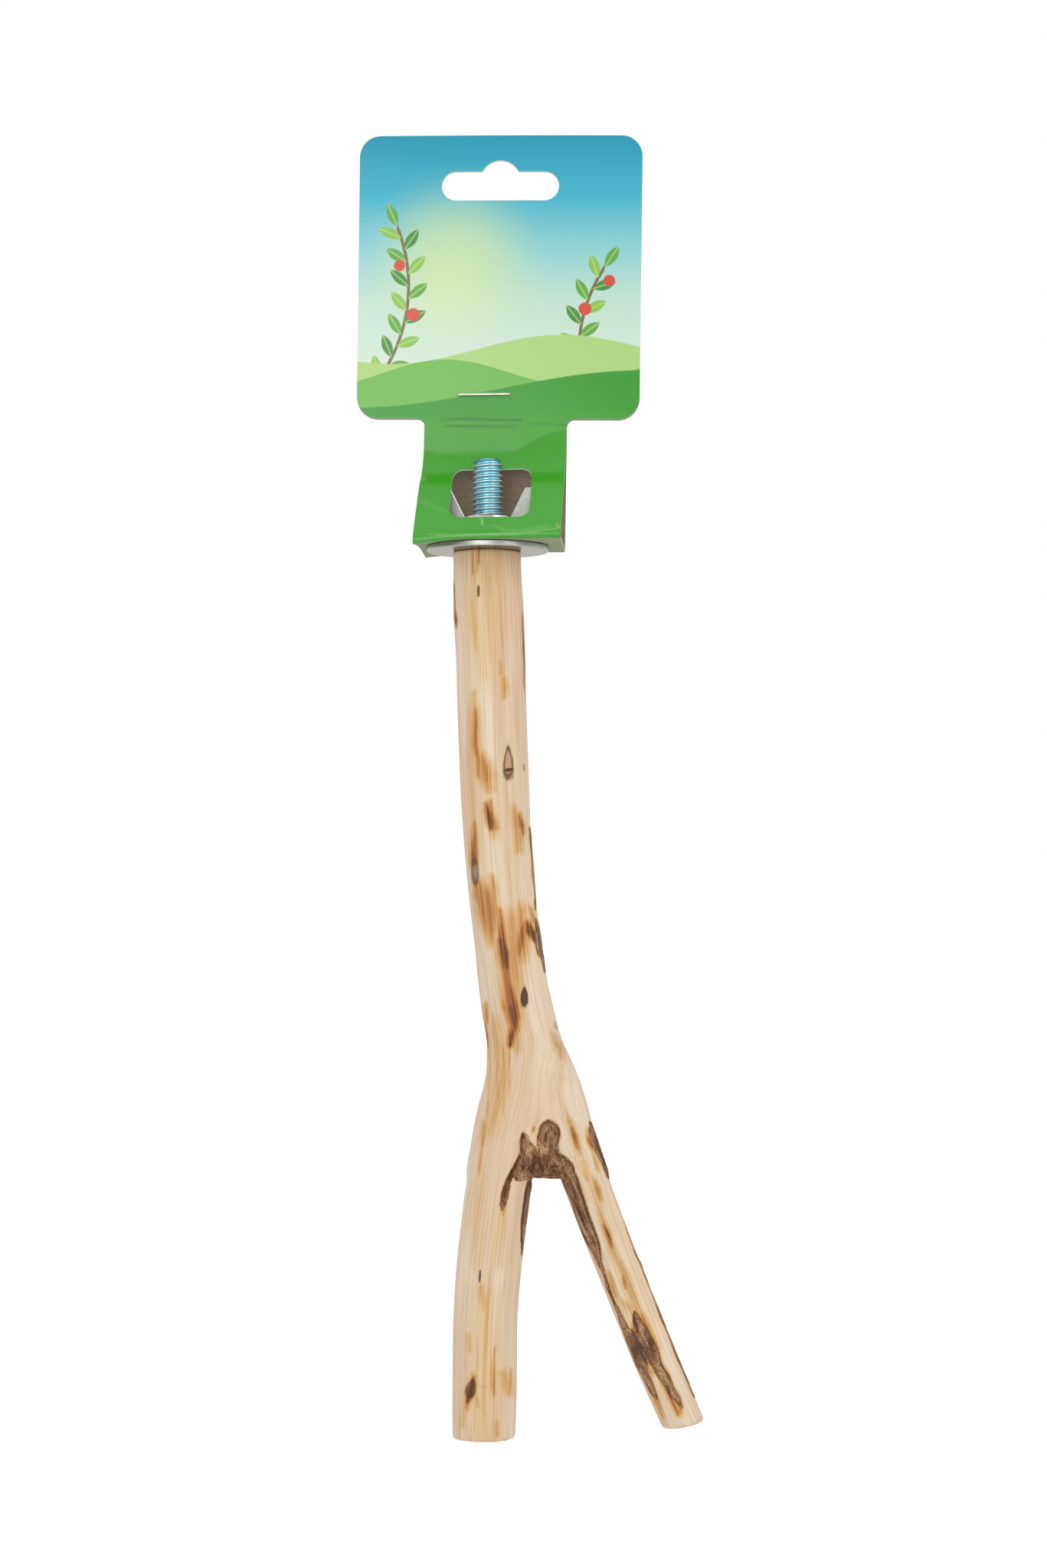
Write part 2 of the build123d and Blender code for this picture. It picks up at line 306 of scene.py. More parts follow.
# A closed tube round one limb: an oval at each station, carried along the lean, with flat ends
def limbTube(name, sides=40):
    drops, offsets, widths, thicks = limbs[name]
    lean = leans[name]
    angle = np.linspace(0, 2 * math.pi, sides, endpoint=False)
    across = np.cos(angle)[None] * widths[:, None] / 2
    x = offsets[:, None] + across * math.cos(lean)
    z = branch["top"] - drops[:, None] + across * math.sin(lean)
    y = np.sin(angle)[None] * thicks[:, None] / 2
    points = np.stack([x, y, z], 2).reshape(-1, 3)
    ring, spot = np.meshgrid(np.arange(len(drops) - 1), np.arange(sides), indexing="ij")
    near, far = ring * sides + spot, ring * sides + (spot + 1) % sides
    faces = np.stack([near, near + sides, far + sides, far], 2).reshape(-1, 4).tolist()
    last = (len(drops) - 1) * sides
    return points, faces + [list(range(sides)), list(range(last + sides - 1, last - 1, -1))]


# The tubes are welded by voxels into one skin, whose points then slide onto the branch's smooth surface
def weldBranch():
    points, faces, count = [], [], 0
    for name in limbs:
        tubePoints, tubeFaces = limbTube(name)
        faces += [[corner + count for corner in face] for face in tubeFaces]
        points.append(tubePoints)
        count += len(tubePoints)
    blank = makePiece("branchBlank", np.concatenate(points), faces)
    weld = blank.modifiers.new("weld", "REMESH")
    weld.mode = "VOXEL"
    weld.voxel_size = branch["voxel"] / 1000
    skin = bpy.data.meshes.new_from_object(blank.evaluated_get(bpy.context.evaluated_depsgraph_get()))
    bpy.data.objects.remove(blank)
    flat = np.zeros(len(skin.vertices) * 3)
    skin.vertices.foreach_get("co", flat)
    points = flat.reshape(-1, 3) * 1000
    turns, longest = branch["slides"]
    for turn in range(turns):
        slope = branchSlope(points)
        pull = (branchDepth(points) / np.maximum((slope ** 2).sum(1), 1e-6))[:, None] * slope
        reach = np.maximum(np.linalg.norm(pull, axis=1, keepdims=True), 1e-9)
        points = points - pull * np.minimum(1, longest / reach)
    return skin, points


# Marks on the front of the branch, placed over the picture in its pixels.
# A stain of 0.15 is a warm tint, 0.4 honey, 0.6 amber, 0.8 brown and 1 umber.
# Bark of 0.7 is paler than bark of 1.
frontMarks = {
    "stain": [
        (0.15, 24, [(636, 712, 34), (634, 810, 28), (630, 880, 10)]),
        (0.7, 1.2, [(617, 724, 0.6), (617.5, 748, 0.6)]),
        (0.75, 1.2, [(621, 722, 0.6), (621.5, 745, 0.9)]),
        (0.75, 1.2, [(624.6, 718, 0.7), (624.8, 738, 0.7)]),
        (0.3, 4, [(624, 745, 1), (624.7, 792, 1.5)]),
        (0.28, 7, [(616, 785, 3), (619, 815, 5), (621, 848, 3)]),
        (0.45, 4, [(653, 864, 1), (653.5, 879, 1.5)]),
        (0.45, 5.5, [(657, 885, 1), (659, 897, 3), (659, 909, 1.5)]),
        (0.42, 5, [(619, 903, 1.5), (620, 926, 2.5)]),
        (0.66, 4, [(620, 928, 2.5), (621, 950, 3.5), (621, 976, 3.5), (624, 992, 3), (625, 1011, 2)]),
        (0.35, 9, [(621, 925, 3), (622, 970, 4), (626, 1012, 4)]),
        (0.52, 8, [(628, 986, 4), (633, 1000, 8), (635, 1012, 9), (638, 1030, 4)]),
        (0.7, 4, [(633, 994, 2), (635, 1006, 3.5), (635, 1020, 2.5)]),
        (0.42, 4, [(643, 1016, 1.5), (644, 1034, 2.5)]),
        (0.16, 12, [(612, 985, 3), (616, 1050, 5), (618, 1100, 5)]),
        (0.86, 4, [(634, 1049, 2), (636, 1058, 4.5), (639, 1068, 6), (642, 1080, 4)]),
        (0.74, 4, [(640.5, 1046, 1.6), (642, 1060, 3), (645, 1072, 4), (648, 1081, 3)]),
        (0.4, 9, [(639, 1046, 2), (642, 1068, 4), (646, 1090, 2)]),
        (0.5, 7, [(672, 1056, 1), (676, 1078, 4), (678, 1098, 4), (678, 1112, 2)]),
        (0.78, 4, [(678, 1064, 1.5), (681, 1078, 4), (683, 1090, 2)]),
        (0.55, 6, [(619, 1078, 2), (619, 1100, 4), (619, 1124, 4)]),
        (0.82, 4, [(618, 1098, 2), (618.5, 1116, 3.5), (619, 1128, 3.5)]),
        (0.5, 8, [(627, 1154, 4), (634, 1168, 11), (637, 1190, 14), (640, 1212, 10), (642, 1230, 4)]),
        (0.5, 6, [(643, 1146, 2.5), (645, 1160, 4), (645, 1178, 4)]),
        (0.6, 6, [(622, 1158, 2), (624, 1170, 4), (627, 1186, 3)]),
        (0.78, 4.5, [(651.5, 1187, 2.5), (654.5, 1208, 4.5), (655.5, 1229, 6.5)]),
        (0.98, 5, [(654, 1230, 6), (657, 1246, 8.5), (659, 1264, 6.5)]),
        (0.8, 5, [(659, 1264, 6), (660.5, 1280, 6), (664.5, 1298, 8.5), (667.5, 1314, 10.5)]),
        (0.94, 5, [(668.5, 1318, 9), (670.5, 1330, 8.5), (671.5, 1342, 6), (668, 1355, 4.5), (666, 1366, 3)]),
        (0.5, 9, [(656, 1200, 2), (662, 1250, 6), (667, 1290, 8), (673, 1326, 7), (672, 1356, 3)]),
        (0.38, 12, [(668, 1196, 5), (670, 1236, 9), (671, 1284, 7)]),
        (0.35, 6, [(672, 1352, 4), (674, 1370, 3)]),
        (0.68, 5.5, [(684, 1204, 3), (681, 1222, 6), (679, 1238, 5), (678, 1248, 2)]),
        (0.46, 10, [(681, 1186, 4), (682, 1222, 10), (680, 1252, 5)]),
        (0.36, 4, [(677, 1248, 3), (676, 1280, 2.5)]),
        (1.0, 4, [(688, 1204, 2), (692, 1216, 6), (698, 1224, 7)]),
        (0.6, 4, [(693, 1186, 1.6), (698, 1202, 4)]),
        (0.65, 3.4, [(633.5, 1312, 1.5), (634.5, 1326, 2.5), (635.5, 1337, 1.5)]),
        (0.9, 1.5, [(634, 1338, 0.8), (635.5, 1352, 1.6), (636, 1366, 0.8)]),
        (0.2, 12, [(646, 1335, 8), (650, 1370, 12), (652, 1410, 12), (650, 1440, 9), (640, 1478, 6)]),
        (0.42, 2.4, [(645, 1352, 1), (648, 1392, 1.2), (650, 1440, 1)]),
        (0.42, 2.4, [(657, 1370, 1), (659, 1400, 1.2), (658, 1450, 1)]),
        (0.36, 2.4, [(664, 1366, 1), (665, 1390, 1.4), (666, 1430, 1)]),
        (0.4, 2.4, [(638, 1360, 1), (640, 1400, 1.2), (636, 1452, 1)]),
        (0.7, 1.8, [(725, 1335, 1.2), (726, 1342, 1.6)]),
        (0.28, 7, [(723, 1353, 2), (727, 1365, 6), (732, 1376, 4)]),
        (0.07, 30, [(704, 1362, 2), (706, 1420, 16), (700, 1462, 14)]),
        # a faint darker tint down the right prong: partly its brown smears, partly painted shade where the
        # prong lies in shade
        (0.08, 14, [(764, 1512, 6), (800, 1600, 8), (846, 1712, 8)]),
        (0.5, 4, [(632, 1468, 1.5), (630.5, 1484, 2.8), (629, 1496, 2)]),
        (0.42, 4, [(628, 1500, 1.5), (625, 1530, 2)]),
        (0.16, 10, [(626, 1540, 3), (620, 1600, 5), (622, 1650, 3)]),
        (0.65, 2.4, [(697, 1472, 1.4), (697, 1477, 1.4)]),
        (0.55, 3.4, [(657, 1576, 2), (656, 1588, 1.5)]),
        (0.16, 10, [(655, 1588, 3), (653, 1620, 5), (652, 1650, 3)]),
        (0.4, 7, [(628, 1680, 2), (631, 1695, 3.5), (632, 1712, 2)]),
        (0.16, 18, [(636, 1690, 8), (632, 1780, 20), (632, 1870, 18)]),
        (0.36, 6, [(612, 1744, 2.5), (613, 1766, 3)]),
        (0.62, 3.4, [(646, 1758, 1), (644.5, 1785, 2.2), (644, 1808, 2.6), (645, 1822, 1.5)]),
        (0.42, 9, [(656, 1792, 3), (661, 1804, 6), (663, 1816, 4)]),
        (0.58, 2.6, [(667, 1789, 1.2), (667, 1806, 1.6), (665, 1820, 1)]),
        (0.5, 7, [(617, 1798, 3), (614, 1820, 7), (609, 1838, 3)]),
        (1.02, 3, [(617.5, 1802, 2), (615.5, 1812, 5), (613.5, 1824, 5.4), (610, 1831, 2.4)]),
        (0.32, 4, [(624, 1808, 2), (636, 1814, 2)]),
        (0.55, 3.4, [(623, 1828, 1.6), (624, 1840, 1.6)]),
        (0.34, 4, [(606, 1836, 1.5), (604, 1862, 2)]),
        (0.42, 5, [(648, 1858, 2), (649, 1874, 3)]),
        (0.92, 5, [(747.5, 1473, 1), (752, 1487, 3), (755.5, 1500, 1.4)]),
        (0.3, 8, [(744, 1462, 1), (752, 1487, 4), (758, 1508, 1)]),
        (0.3, 6, [(763, 1518, 2), (766, 1530, 3), (768, 1540, 2)]),
        (0.36, 5, [(778, 1514, 3), (780, 1528, 3)]),
        (0.8, 4, [(770, 1476, 3), (774, 1490, 5), (780, 1506, 3)]),
        (0.82, 4.6, [(776.5, 1542, 0.8), (780, 1554, 2.4), (783.5, 1567, 1)]),
        (0.25, 7, [(775, 1538, 3), (786, 1585, 3), (798, 1632, 5), (804, 1648, 2)]),
        (0.96, 4.6, [(788.5, 1600, 1), (793.5, 1613, 3), (798.5, 1629, 1)]),
        (0.32, 8, [(784, 1584, 2), (794, 1612, 5), (802, 1640, 2)]),
        (0.28, 8, [(800, 1634, 3), (814, 1662, 6), (824, 1690, 5), (836, 1716, 2)]),
        (0.85, 3, [(814.5, 1666, 0.6), (816, 1676, 1.6), (818, 1685, 0.6)]),
        (0.25, 6, [(810, 1648, 2), (816, 1676, 3), (824, 1700, 3)]),
        (0.7, 3.4, [(795, 1664, 1), (801, 1682, 2.2), (806, 1694, 1.4)]),
        (0.4, 7, [(812, 1700, 2), (826, 1710, 5), (838, 1722, 3)]),
        (0.5, 5.4, [(838, 1716, 3), (848, 1738, 4), (860, 1762, 3)]),
        (0.62, 4, [(864, 1806, 2), (876, 1826, 3), (887, 1846, 4)]),
        (0.6, 4, [(852, 1816, 2), (858, 1830, 3), (866, 1850, 1)]),
        (0.42, 4, [(848, 1782, 2), (852, 1792, 4)]),
        (0.95, 1.4, [(592.5, 766, 0.6), (594, 795, 1.2), (595.6, 810, 2.4), (596.6, 820, 0.8)]),
        (0.95, 1.4, [(682, 806, 0.6), (684, 845, 1.5), (685, 896, 0.6)]),
        (0.7, 1.8, [(796, 1538, 1.8), (826, 1625, 1.8)]),
    ],
    "bark": [
        (1, 3, [(690, 1506, 10), (694, 1520, 16), (700, 1530, 16)]),
        (1, 3, [(715, 1504, 12), (716, 1520, 18), (716, 1530, 20)]),
        (1, 2.6, [(683, 1483, 1.5), (685, 1490, 4.5), (688, 1500, 8)]),
        (1, 2.6, [(717, 1478, 13.5), (714, 1492, 13)]),
        (-1, 1.6, [(697, 1478, 4), (698, 1488, 3), (700, 1498, 0.4)]),
        (1, 3, [(680, 1512, 3), (676, 1524, 6), (678, 1534, 8), (690, 1535, 8)]),
        (-1, 1.2, [(674, 1548, 5), (692, 1547, 5)]),
        (-1, 1.6, [(675, 1560, 5), (676, 1590, 7)]),
        (1, 2.6, [(670, 1531, 4), (663, 1547, 3.4), (659.5, 1562, 4.8), (657, 1574, 4), (656, 1582, 1)]),
        (1, 2.2, [(693, 1546, 2.5), (688.5, 1562, 3.6), (686.5, 1578, 3.4), (684.5, 1594, 3.4),
                  (683.5, 1612, 3), (682.5, 1636, 0.8)]),
        (1, 3, [(726, 1512, 6.5), (738.5, 1524, 9.5), (746, 1547, 9.4), (753, 1567, 8.8), (760, 1587, 8.6),
                (766.5, 1607, 7.6), (775, 1627, 6.4), (780.5, 1644, 4.2), (788, 1661, 1.8)]),
        (1, 2.6, [(784, 1650, 1.4), (792, 1676, 1.6), (800, 1698, 1.6), (808, 1716, 1.6)]),
        (-0.28, 2, [(737, 1544, 2), (748, 1574, 3), (760, 1606, 3), (772, 1634, 1.5)]),
        (-0.36, 3, [(717, 1481, 8), (714, 1494, 7)]),
        (-0.3, 3, [(688, 1496, 3), (684, 1520, 5), (676, 1534, 3)]),
        (-0.36, 2, [(691, 1556, 1.4), (689, 1578, 2), (687, 1606, 1.4)]),
        (1, 2.6, [(770, 1464, 1.4), (774, 1480, 4), (778, 1492, 5), (784, 1508, 3.6), (790, 1525, 2.2),
                  (795, 1540, 0.8)]),
        (0.9, 5, [(830, 1717, 3), (835, 1732, 7), (842, 1750, 9.5), (850, 1768, 10), (858, 1784, 7.6),
                  (867, 1800, 6), (876, 1815, 4.8), (884, 1828, 3), (890, 1840, 0.6)]),
        (0.92, 4, [(806, 1708, 1.4), (813, 1726, 3.5), (822, 1744, 6), (832, 1764, 9), (838, 1782, 7.5),
                   (844, 1798, 5), (851, 1813, 3.4), (857, 1827, 1.4)]),
        (-1, 3, [(849, 1787, 1), (857, 1803, 4), (866, 1821, 6.4), (874, 1838, 8)]),
        (-1, 3, [(822, 1711, 4), (824, 1725, 2), (823, 1736, 0.2)]),
        (-0.34, 5, [(824, 1748, 5), (836, 1772, 8), (848, 1800, 4)]),
        (1, 2, [(828, 1634, 0.8), (862, 1715, 2.2), (894, 1794, 2.2), (906, 1824, 0.6)]),
        (1, 2.2, [(691, 1082, 0.6), (693, 1105, 1.6), (696, 1130, 1.8), (698, 1160, 1.6), (700, 1188, 0.8)]),
        (1, 3, [(700, 1200, 1), (702, 1213, 4), (703, 1222, 5), (705.5, 1238, 4), (709, 1254, 2.6),
                (712, 1270, 0.6)]),
    ],
    "knotAndShade": [
        (0.55, 1.6, [(620, 1126, 2), (620, 1142, 3.8), (621, 1153, 2.8)]),
        (0.7, 1.6, [(682.8, 1480, 1.2), (679.6, 1490, 1.4), (679, 1504, 1.4), (675.3, 1516, 1.6),
                    (669, 1529, 2), (663, 1541, 2.4)]),
        (0.65, 1.6, [(730, 1507, 1.6), (740, 1513, 1.6), (747, 1524, 1.8), (755, 1544, 2), (760, 1560, 2),
                     (767, 1582, 2), (773, 1598, 2), (782, 1626, 1.6), (786, 1646, 1)]),
        (0.6, 2, [(721, 1465, 1.2), (728.5, 1473, 2.6), (730, 1484, 2.8), (727.5, 1496, 2.2),
                  (730, 1507, 1.8)]),
        (0.34, 3, [(668, 1534, 3), (661, 1553, 4), (657, 1574, 4)]),
        # painted shade: the middle of the fork darkened, partly the bark's own dark brown and partly the
        # fork's shade
        (0.34, 6, [(690, 1522, 9), (712, 1520, 12), (734, 1530, 8)]),
        # painted shadow along the fork's ceiling, where the stem turns under
        (0.6, 2.2, [(700, 1537, 1.4), (716, 1535.5, 2), (732, 1535, 1.2)]),
        (0.75, 1.4, [(691, 1545, 1), (685.5, 1562, 1.2), (683, 1580, 1.1), (681.5, 1600, 1.1),
                     (680.5, 1622, 0.8)]),
        (0.14, 3, [(842, 1742, 4), (852, 1768, 5), (866, 1796, 3)]),
        (0.28, 7, [(744, 1466, 1), (751, 1486, 3), (757, 1506, 1)]),
        (0.24, 7, [(776, 1538, 2), (788, 1590, 3), (799, 1634, 4), (804, 1648, 1)]),
        (0.24, 6, [(810, 1648, 1), (816, 1676, 2), (824, 1700, 2)]),
        (0.28, 7, [(724, 1354, 2), (728, 1366, 5), (732, 1376, 3)]),
        (0.22, 8, [(672, 1340, 2), (674, 1366, 5), (674, 1380, 2)]),
        (0.2, 7, [(636, 1050, 2), (641, 1072, 5), (645, 1086, 2)]),
        (0.2, 7, [(619, 1090, 2), (619, 1116, 4), (620, 1150, 3)]),
        (0.2, 8, [(633, 1158, 3), (640, 1190, 6), (646, 1215, 3)]),
    ],
    "pale": [
        (0.9, 1.2, [(733.5, 1513.5, 0.7), (747, 1541, 0.9), (757, 1563, 0.9), (765, 1588, 0.7),
                    (773, 1612, 0.4)]),
        (0.7, 1.2, [(741, 1556, 0.5), (752, 1584, 0.7), (766, 1615, 0.7), (777, 1641, 0.4)]),
        (0.7, 1.2, [(832.8, 1742.8, 0.5), (840, 1757, 0.7), (847.2, 1771.6, 0.4)]),
        (0.6, 1.2, [(826.8, 1742.8, 0.5), (835, 1764, 0.7), (842.4, 1783.6, 0.4)]),
        (0.5, 2, [(690.5, 1556, 1), (688.5, 1576, 1.4), (686.5, 1602, 1)]),
        (0.5, 3, [(700, 1504, 1.5), (704, 1508, 2)]),
    ],
    "plain": [
        (0.75, 30, [(704, 1362, 2), (706, 1420, 16), (700, 1462, 14)]),
    ],
}
# Lumps and hollows of the wood round the crotch, in mm of rise
crotchRelief = [
    (0.8, [(1, 8, [(718, 1482, 8), (714, 1500, 10)])]),
    (0.6, [(1, 7, [(688, 1496, 5), (688, 1520, 8)])]),
    (-0.5, [(1, 5, [(699, 1484, 2), (698, 1506, 4)])]),
    (-0.5, [(1, 9, [(700, 1530, 14), (726, 1530, 10)])]),
    (-0.35, [(1, 5, [(668, 1534, 3), (660, 1552, 4)])]),
]

# Marks on the far side, which no picture shows, in the same pixels as if seen through the wood
backMarks = {
    "stain": [
        (0.15, 24, [(636, 712, 34), (634, 810, 28), (630, 880, 10)]),
        (0.07, 30, [(704, 1362, 2), (706, 1420, 16), (700, 1462, 14)]),
        (0.3, 8, [(648, 786, 2), (645, 820, 5), (649, 862, 4), (646, 900, 2)]),
        (0.72, 3, [(645, 812, 1.2), (648, 834, 2.8), (647, 858, 1.4)]),
        (0.5, 4, [(653, 846, 1), (655, 872, 2)]),
        (0.34, 9, [(609, 912, 2), (615, 950, 5), (612, 985, 4), (619, 1020, 2)]),
        (0.66, 3.4, [(612, 944, 1.4), (616, 966, 2.6), (614, 990, 1.2)]),
        (0.46, 9, [(668, 1012, 3), (662, 1044, 9), (657, 1080, 11), (664, 1118, 6), (668, 1150, 2)]),
        (0.9, 4, [(652, 1050, 1.5), (655, 1074, 4.5), (660, 1092, 3), (661, 1112, 1.4)]),
        (0.7, 4, [(668, 1058, 1.4), (670, 1078, 3), (668, 1098, 1.6)]),
        (0.4, 9, [(628, 1124, 3), (632, 1160, 8), (641, 1196, 7), (643, 1232, 3)]),
        (0.75, 3.4, [(626, 1138, 1.2), (629, 1158, 2.8), (633, 1178, 1.4)]),
        (0.55, 3.4, [(642, 1196, 1.4), (645, 1216, 2.4)]),
        (0.5, 9, [(671, 1236, 4), (676, 1276, 10), (684, 1318, 10), (693, 1366, 4)]),
        (0.95, 4, [(670, 1252, 2), (674, 1280, 6), (681, 1304, 5), (685, 1334, 2.5)]),
        (0.8, 3.4, [(691, 1306, 1.6), (694, 1330, 3), (698, 1352, 1.4)]),
        (0.22, 12, [(648, 1332, 8), (654, 1390, 13), (658, 1440, 6)]),
        (0.4, 2.4, [(646, 1350, 1), (650, 1395, 1.2), (652, 1440, 1)]),
        (0.36, 2.4, [(660, 1372, 1), (662, 1420, 1.2)]),
        (0.4, 7, [(718, 1402, 2), (727, 1436, 5), (735, 1476, 3)]),
        (0.72, 3, [(724, 1430, 1.4), (729, 1450, 2.8), (731, 1466, 1.2)]),
        (0.4, 8, [(643, 1602, 2), (636, 1640, 5), (639, 1672, 6), (633, 1708, 3)]),
        (0.8, 3.4, [(634, 1638, 1.4), (638, 1658, 3.4), (637, 1676, 1.6)]),
        (0.46, 8, [(625, 1786, 3), (620, 1812, 8), (615, 1846, 4)]),
        (1.0, 3.4, [(625, 1800, 2), (621, 1818, 5), (616, 1834, 2.4)]),
        (0.42, 6, [(799, 1636, 2), (810, 1664, 4), (824, 1704, 3)]),
        (0.85, 3, [(805, 1650, 1.4), (812, 1668, 3), (816, 1682, 1.2)]),
        (0.34, 8, [(657, 1738, 3), (653, 1772, 5), (658, 1812, 3)]),
        (0.6, 3, [(656, 1758, 1), (654, 1782, 2)]),
        (0.95, 1.5, [(828, 1634, 0.8), (862, 1715, 1.7), (894, 1794, 1.7), (906, 1824, 0.6)]),
    ],
    "bark": [
        (1, 3, [(707, 1506, 4), (710, 1518, 13), (714, 1532, 20)]),
        (1, 3, [(686, 1510, 2), (689, 1522, 8), (694, 1534, 14)]),
        (-1, 2, [(697, 1500, 3), (698, 1514, 1)]),
        (-0.3, 3, [(706, 1514, 4), (712, 1526, 7)]),
        (1, 2.6, [(739, 1528, 8), (747, 1552, 9), (757, 1582, 7), (764, 1608, 4), (772, 1636, 1)]),
        (-0.3, 2, [(744, 1540, 3), (756, 1580, 3)]),
        (1, 2.4, [(693, 1546, 4), (688, 1572, 5), (684, 1604, 3.4), (682, 1640, 1.2)]),
        (1, 2.4, [(695, 1084, 1.2), (697, 1128, 2.6), (701, 1176, 3), (705, 1224, 4.4), (711, 1262, 1.4)]),
        (1, 2.4, [(777, 1484, 1), (783, 1504, 3.6), (790, 1528, 3), (798, 1558, 0.8)]),
        (1, 2.4, [(591.5, 748, 0.8), (592.5, 766, 1.8), (593.5, 786, 1)]),
        (1, 2.4, [(683, 806, 1), (684, 850, 2.6), (685, 896, 1)]),
        (1, 3, [(828, 1682, 1), (838, 1704, 3.4), (850, 1730, 6), (857, 1750, 4), (868, 1778, 1.2)]),
        (1, 3, [(847, 1716, 2), (857, 1732, 4), (864, 1752, 1.6)]),
        (-0.3, 3, [(842, 1712, 2), (852, 1738, 3)]),
        (1, 2.6, [(608, 1696, 1), (605, 1720, 3.4), (607, 1742, 4.6), (602, 1768, 1.2)]),
    ],
    "knotAndShade": [],
    "pale": [],
    "plain": [
        (0.75, 30, [(704, 1362, 2), (706, 1420, 16), (700, 1462, 14)]),
    ],
}


# Grain runs down each limb: (across, depth, along) in mm, where across is the sideways distance from the
# limb's middle line. The right prong's is slid to agree with the stem's at the fork, and its share goes
# with it.
def grainAlong(points):
    drop = branch["top"] - points[:, 2]
    stop, start = branch["oneLine"]
    middleDrop, middleX = np.concatenate([limbs["stem"][:2, :stop], limbs["left"][:2, start:]], 1)
    main = points[:, 0] - eased(middleDrop, middleX, drop)
    forkDrop = np.array([branch["forkDrop"]])
    slide = eased(*limbs["right"][:2], forkDrop) - eased(middleDrop, middleX, forkDrop)
    side = points[:, 0] - eased(*limbs["right"][:2], drop) + slide
    nearer = limbDepth("left", points) - limbDepth("right", points)
    share = ramp(-branch["forkBlend"], branch["forkBlend"], nearer) * ramp(*branch["forkSpan"], drop)
    return np.stack([main + (side - main) * share, points[:, 1], drop], 1), share


# Rings of the sawn ends: distance from the limb's middle in mm, and 1 on the faces that the saw left
def sawnEnds(points, normals, share):
    left = np.hypot(*limbPlace("left", points)[:2])
    right = np.hypot(*limbPlace("right", points)[:2])
    low = ramp(*branch["sawnDrop"], branch["top"] - points[:, 2])
    return left + (right - left) * share, ramp(*branch["sawnFacing"], -normals[:, 2]) * low


# The welded skin, pushed out along its normals by swellings, bark and knots. For its material it carries the
# marks at each point, the grain, the place in the picture with 1 for the front or -1 for the back, and the
# sawn ends' rings.
def makeBranch():
    skin, points = weldBranch()
    normals = branchSlope(points)
    normals /= np.maximum(np.linalg.norm(normals, axis=1, keepdims=True), 1e-9)
    grain, share = grainAlong(points)
    seen = seenAt(points)
    through = seenAt(points * np.array([1, 0, 1]))
    stray = np.stack([lumps(points, branch["stray"], seed) for seed in branch["straySeeds"]], 1)
    front = ramp(*branch["frontFacing"], normals[:, 1] + branch["frontStray"] * stray[:, 0])
    lean = share * leans["right"]
    alongGrain = np.stack([np.sin(lean), np.cos(lean)], 1)
    comb = heaped(grain, branch["comb"])
    marks = {}
    for name in frontMarks:
        feather, wander, runOut, spread = branch["frayed"][name]
        shift = feather * comb[:, None] * alongGrain + wander * stray
        near = layMarks(seen + shift, frontMarks[name], runOut, spread)
        far = layMarks(through + shift, backMarks[name], runOut, spread)
        marks[name] = near * front + far * (1 - front)
    soaked = branch["barkStain"] * ramp(*branch["barkStainSpan"], marks["bark"])
    marks["stain"] = np.maximum(marks["stain"], soaked)
    onFront = front[:, None] > 0.5
    picture = np.concatenate([np.where(onFront, seen, through), np.where(onFront, 1.0, -1.0)], 1)
    calm = ramp(0, branch["calm"], branch["top"] - points[:, 2])
    crust = branch["barkRise"] + heaped(grain, branch["crust"])
    height = heaped(grain, branch["swell"]) + ramp(*branch["barkSpan"], marks["bark"]) * crust
    height = height - branch["knotSink"] * ramp(*branch["knotSpan"], marks["knotAndShade"])
    for rise, patch in crotchRelief:
        height = height + rise * layMarks(seen, patch) * front
    rings, sawn = sawnEnds(points, normals, share)
    points = points + normals * (height * calm)[:, None]
    skin.vertices.foreach_set("co", (points / 1000).ravel())
    skin.polygons.foreach_set("use_smooth", np.full(len(skin.polygons), True))
    piece = bpy.data.objects.new("branchWood", skin)
    bpy.context.collection.objects.link(piece)
    stored = {**marks, "grain": grain, "picture": picture, "rings": rings, "sawn": sawn}
    for name, values in stored.items():
        storeOnPoints(piece, name, values)
    skin.materials.clear()
    skin.materials.append(makePeeledWood())
    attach(piece, "perch")
    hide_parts("forked_branch")
    print("branch welded:", len(skin.polygons), "faces")


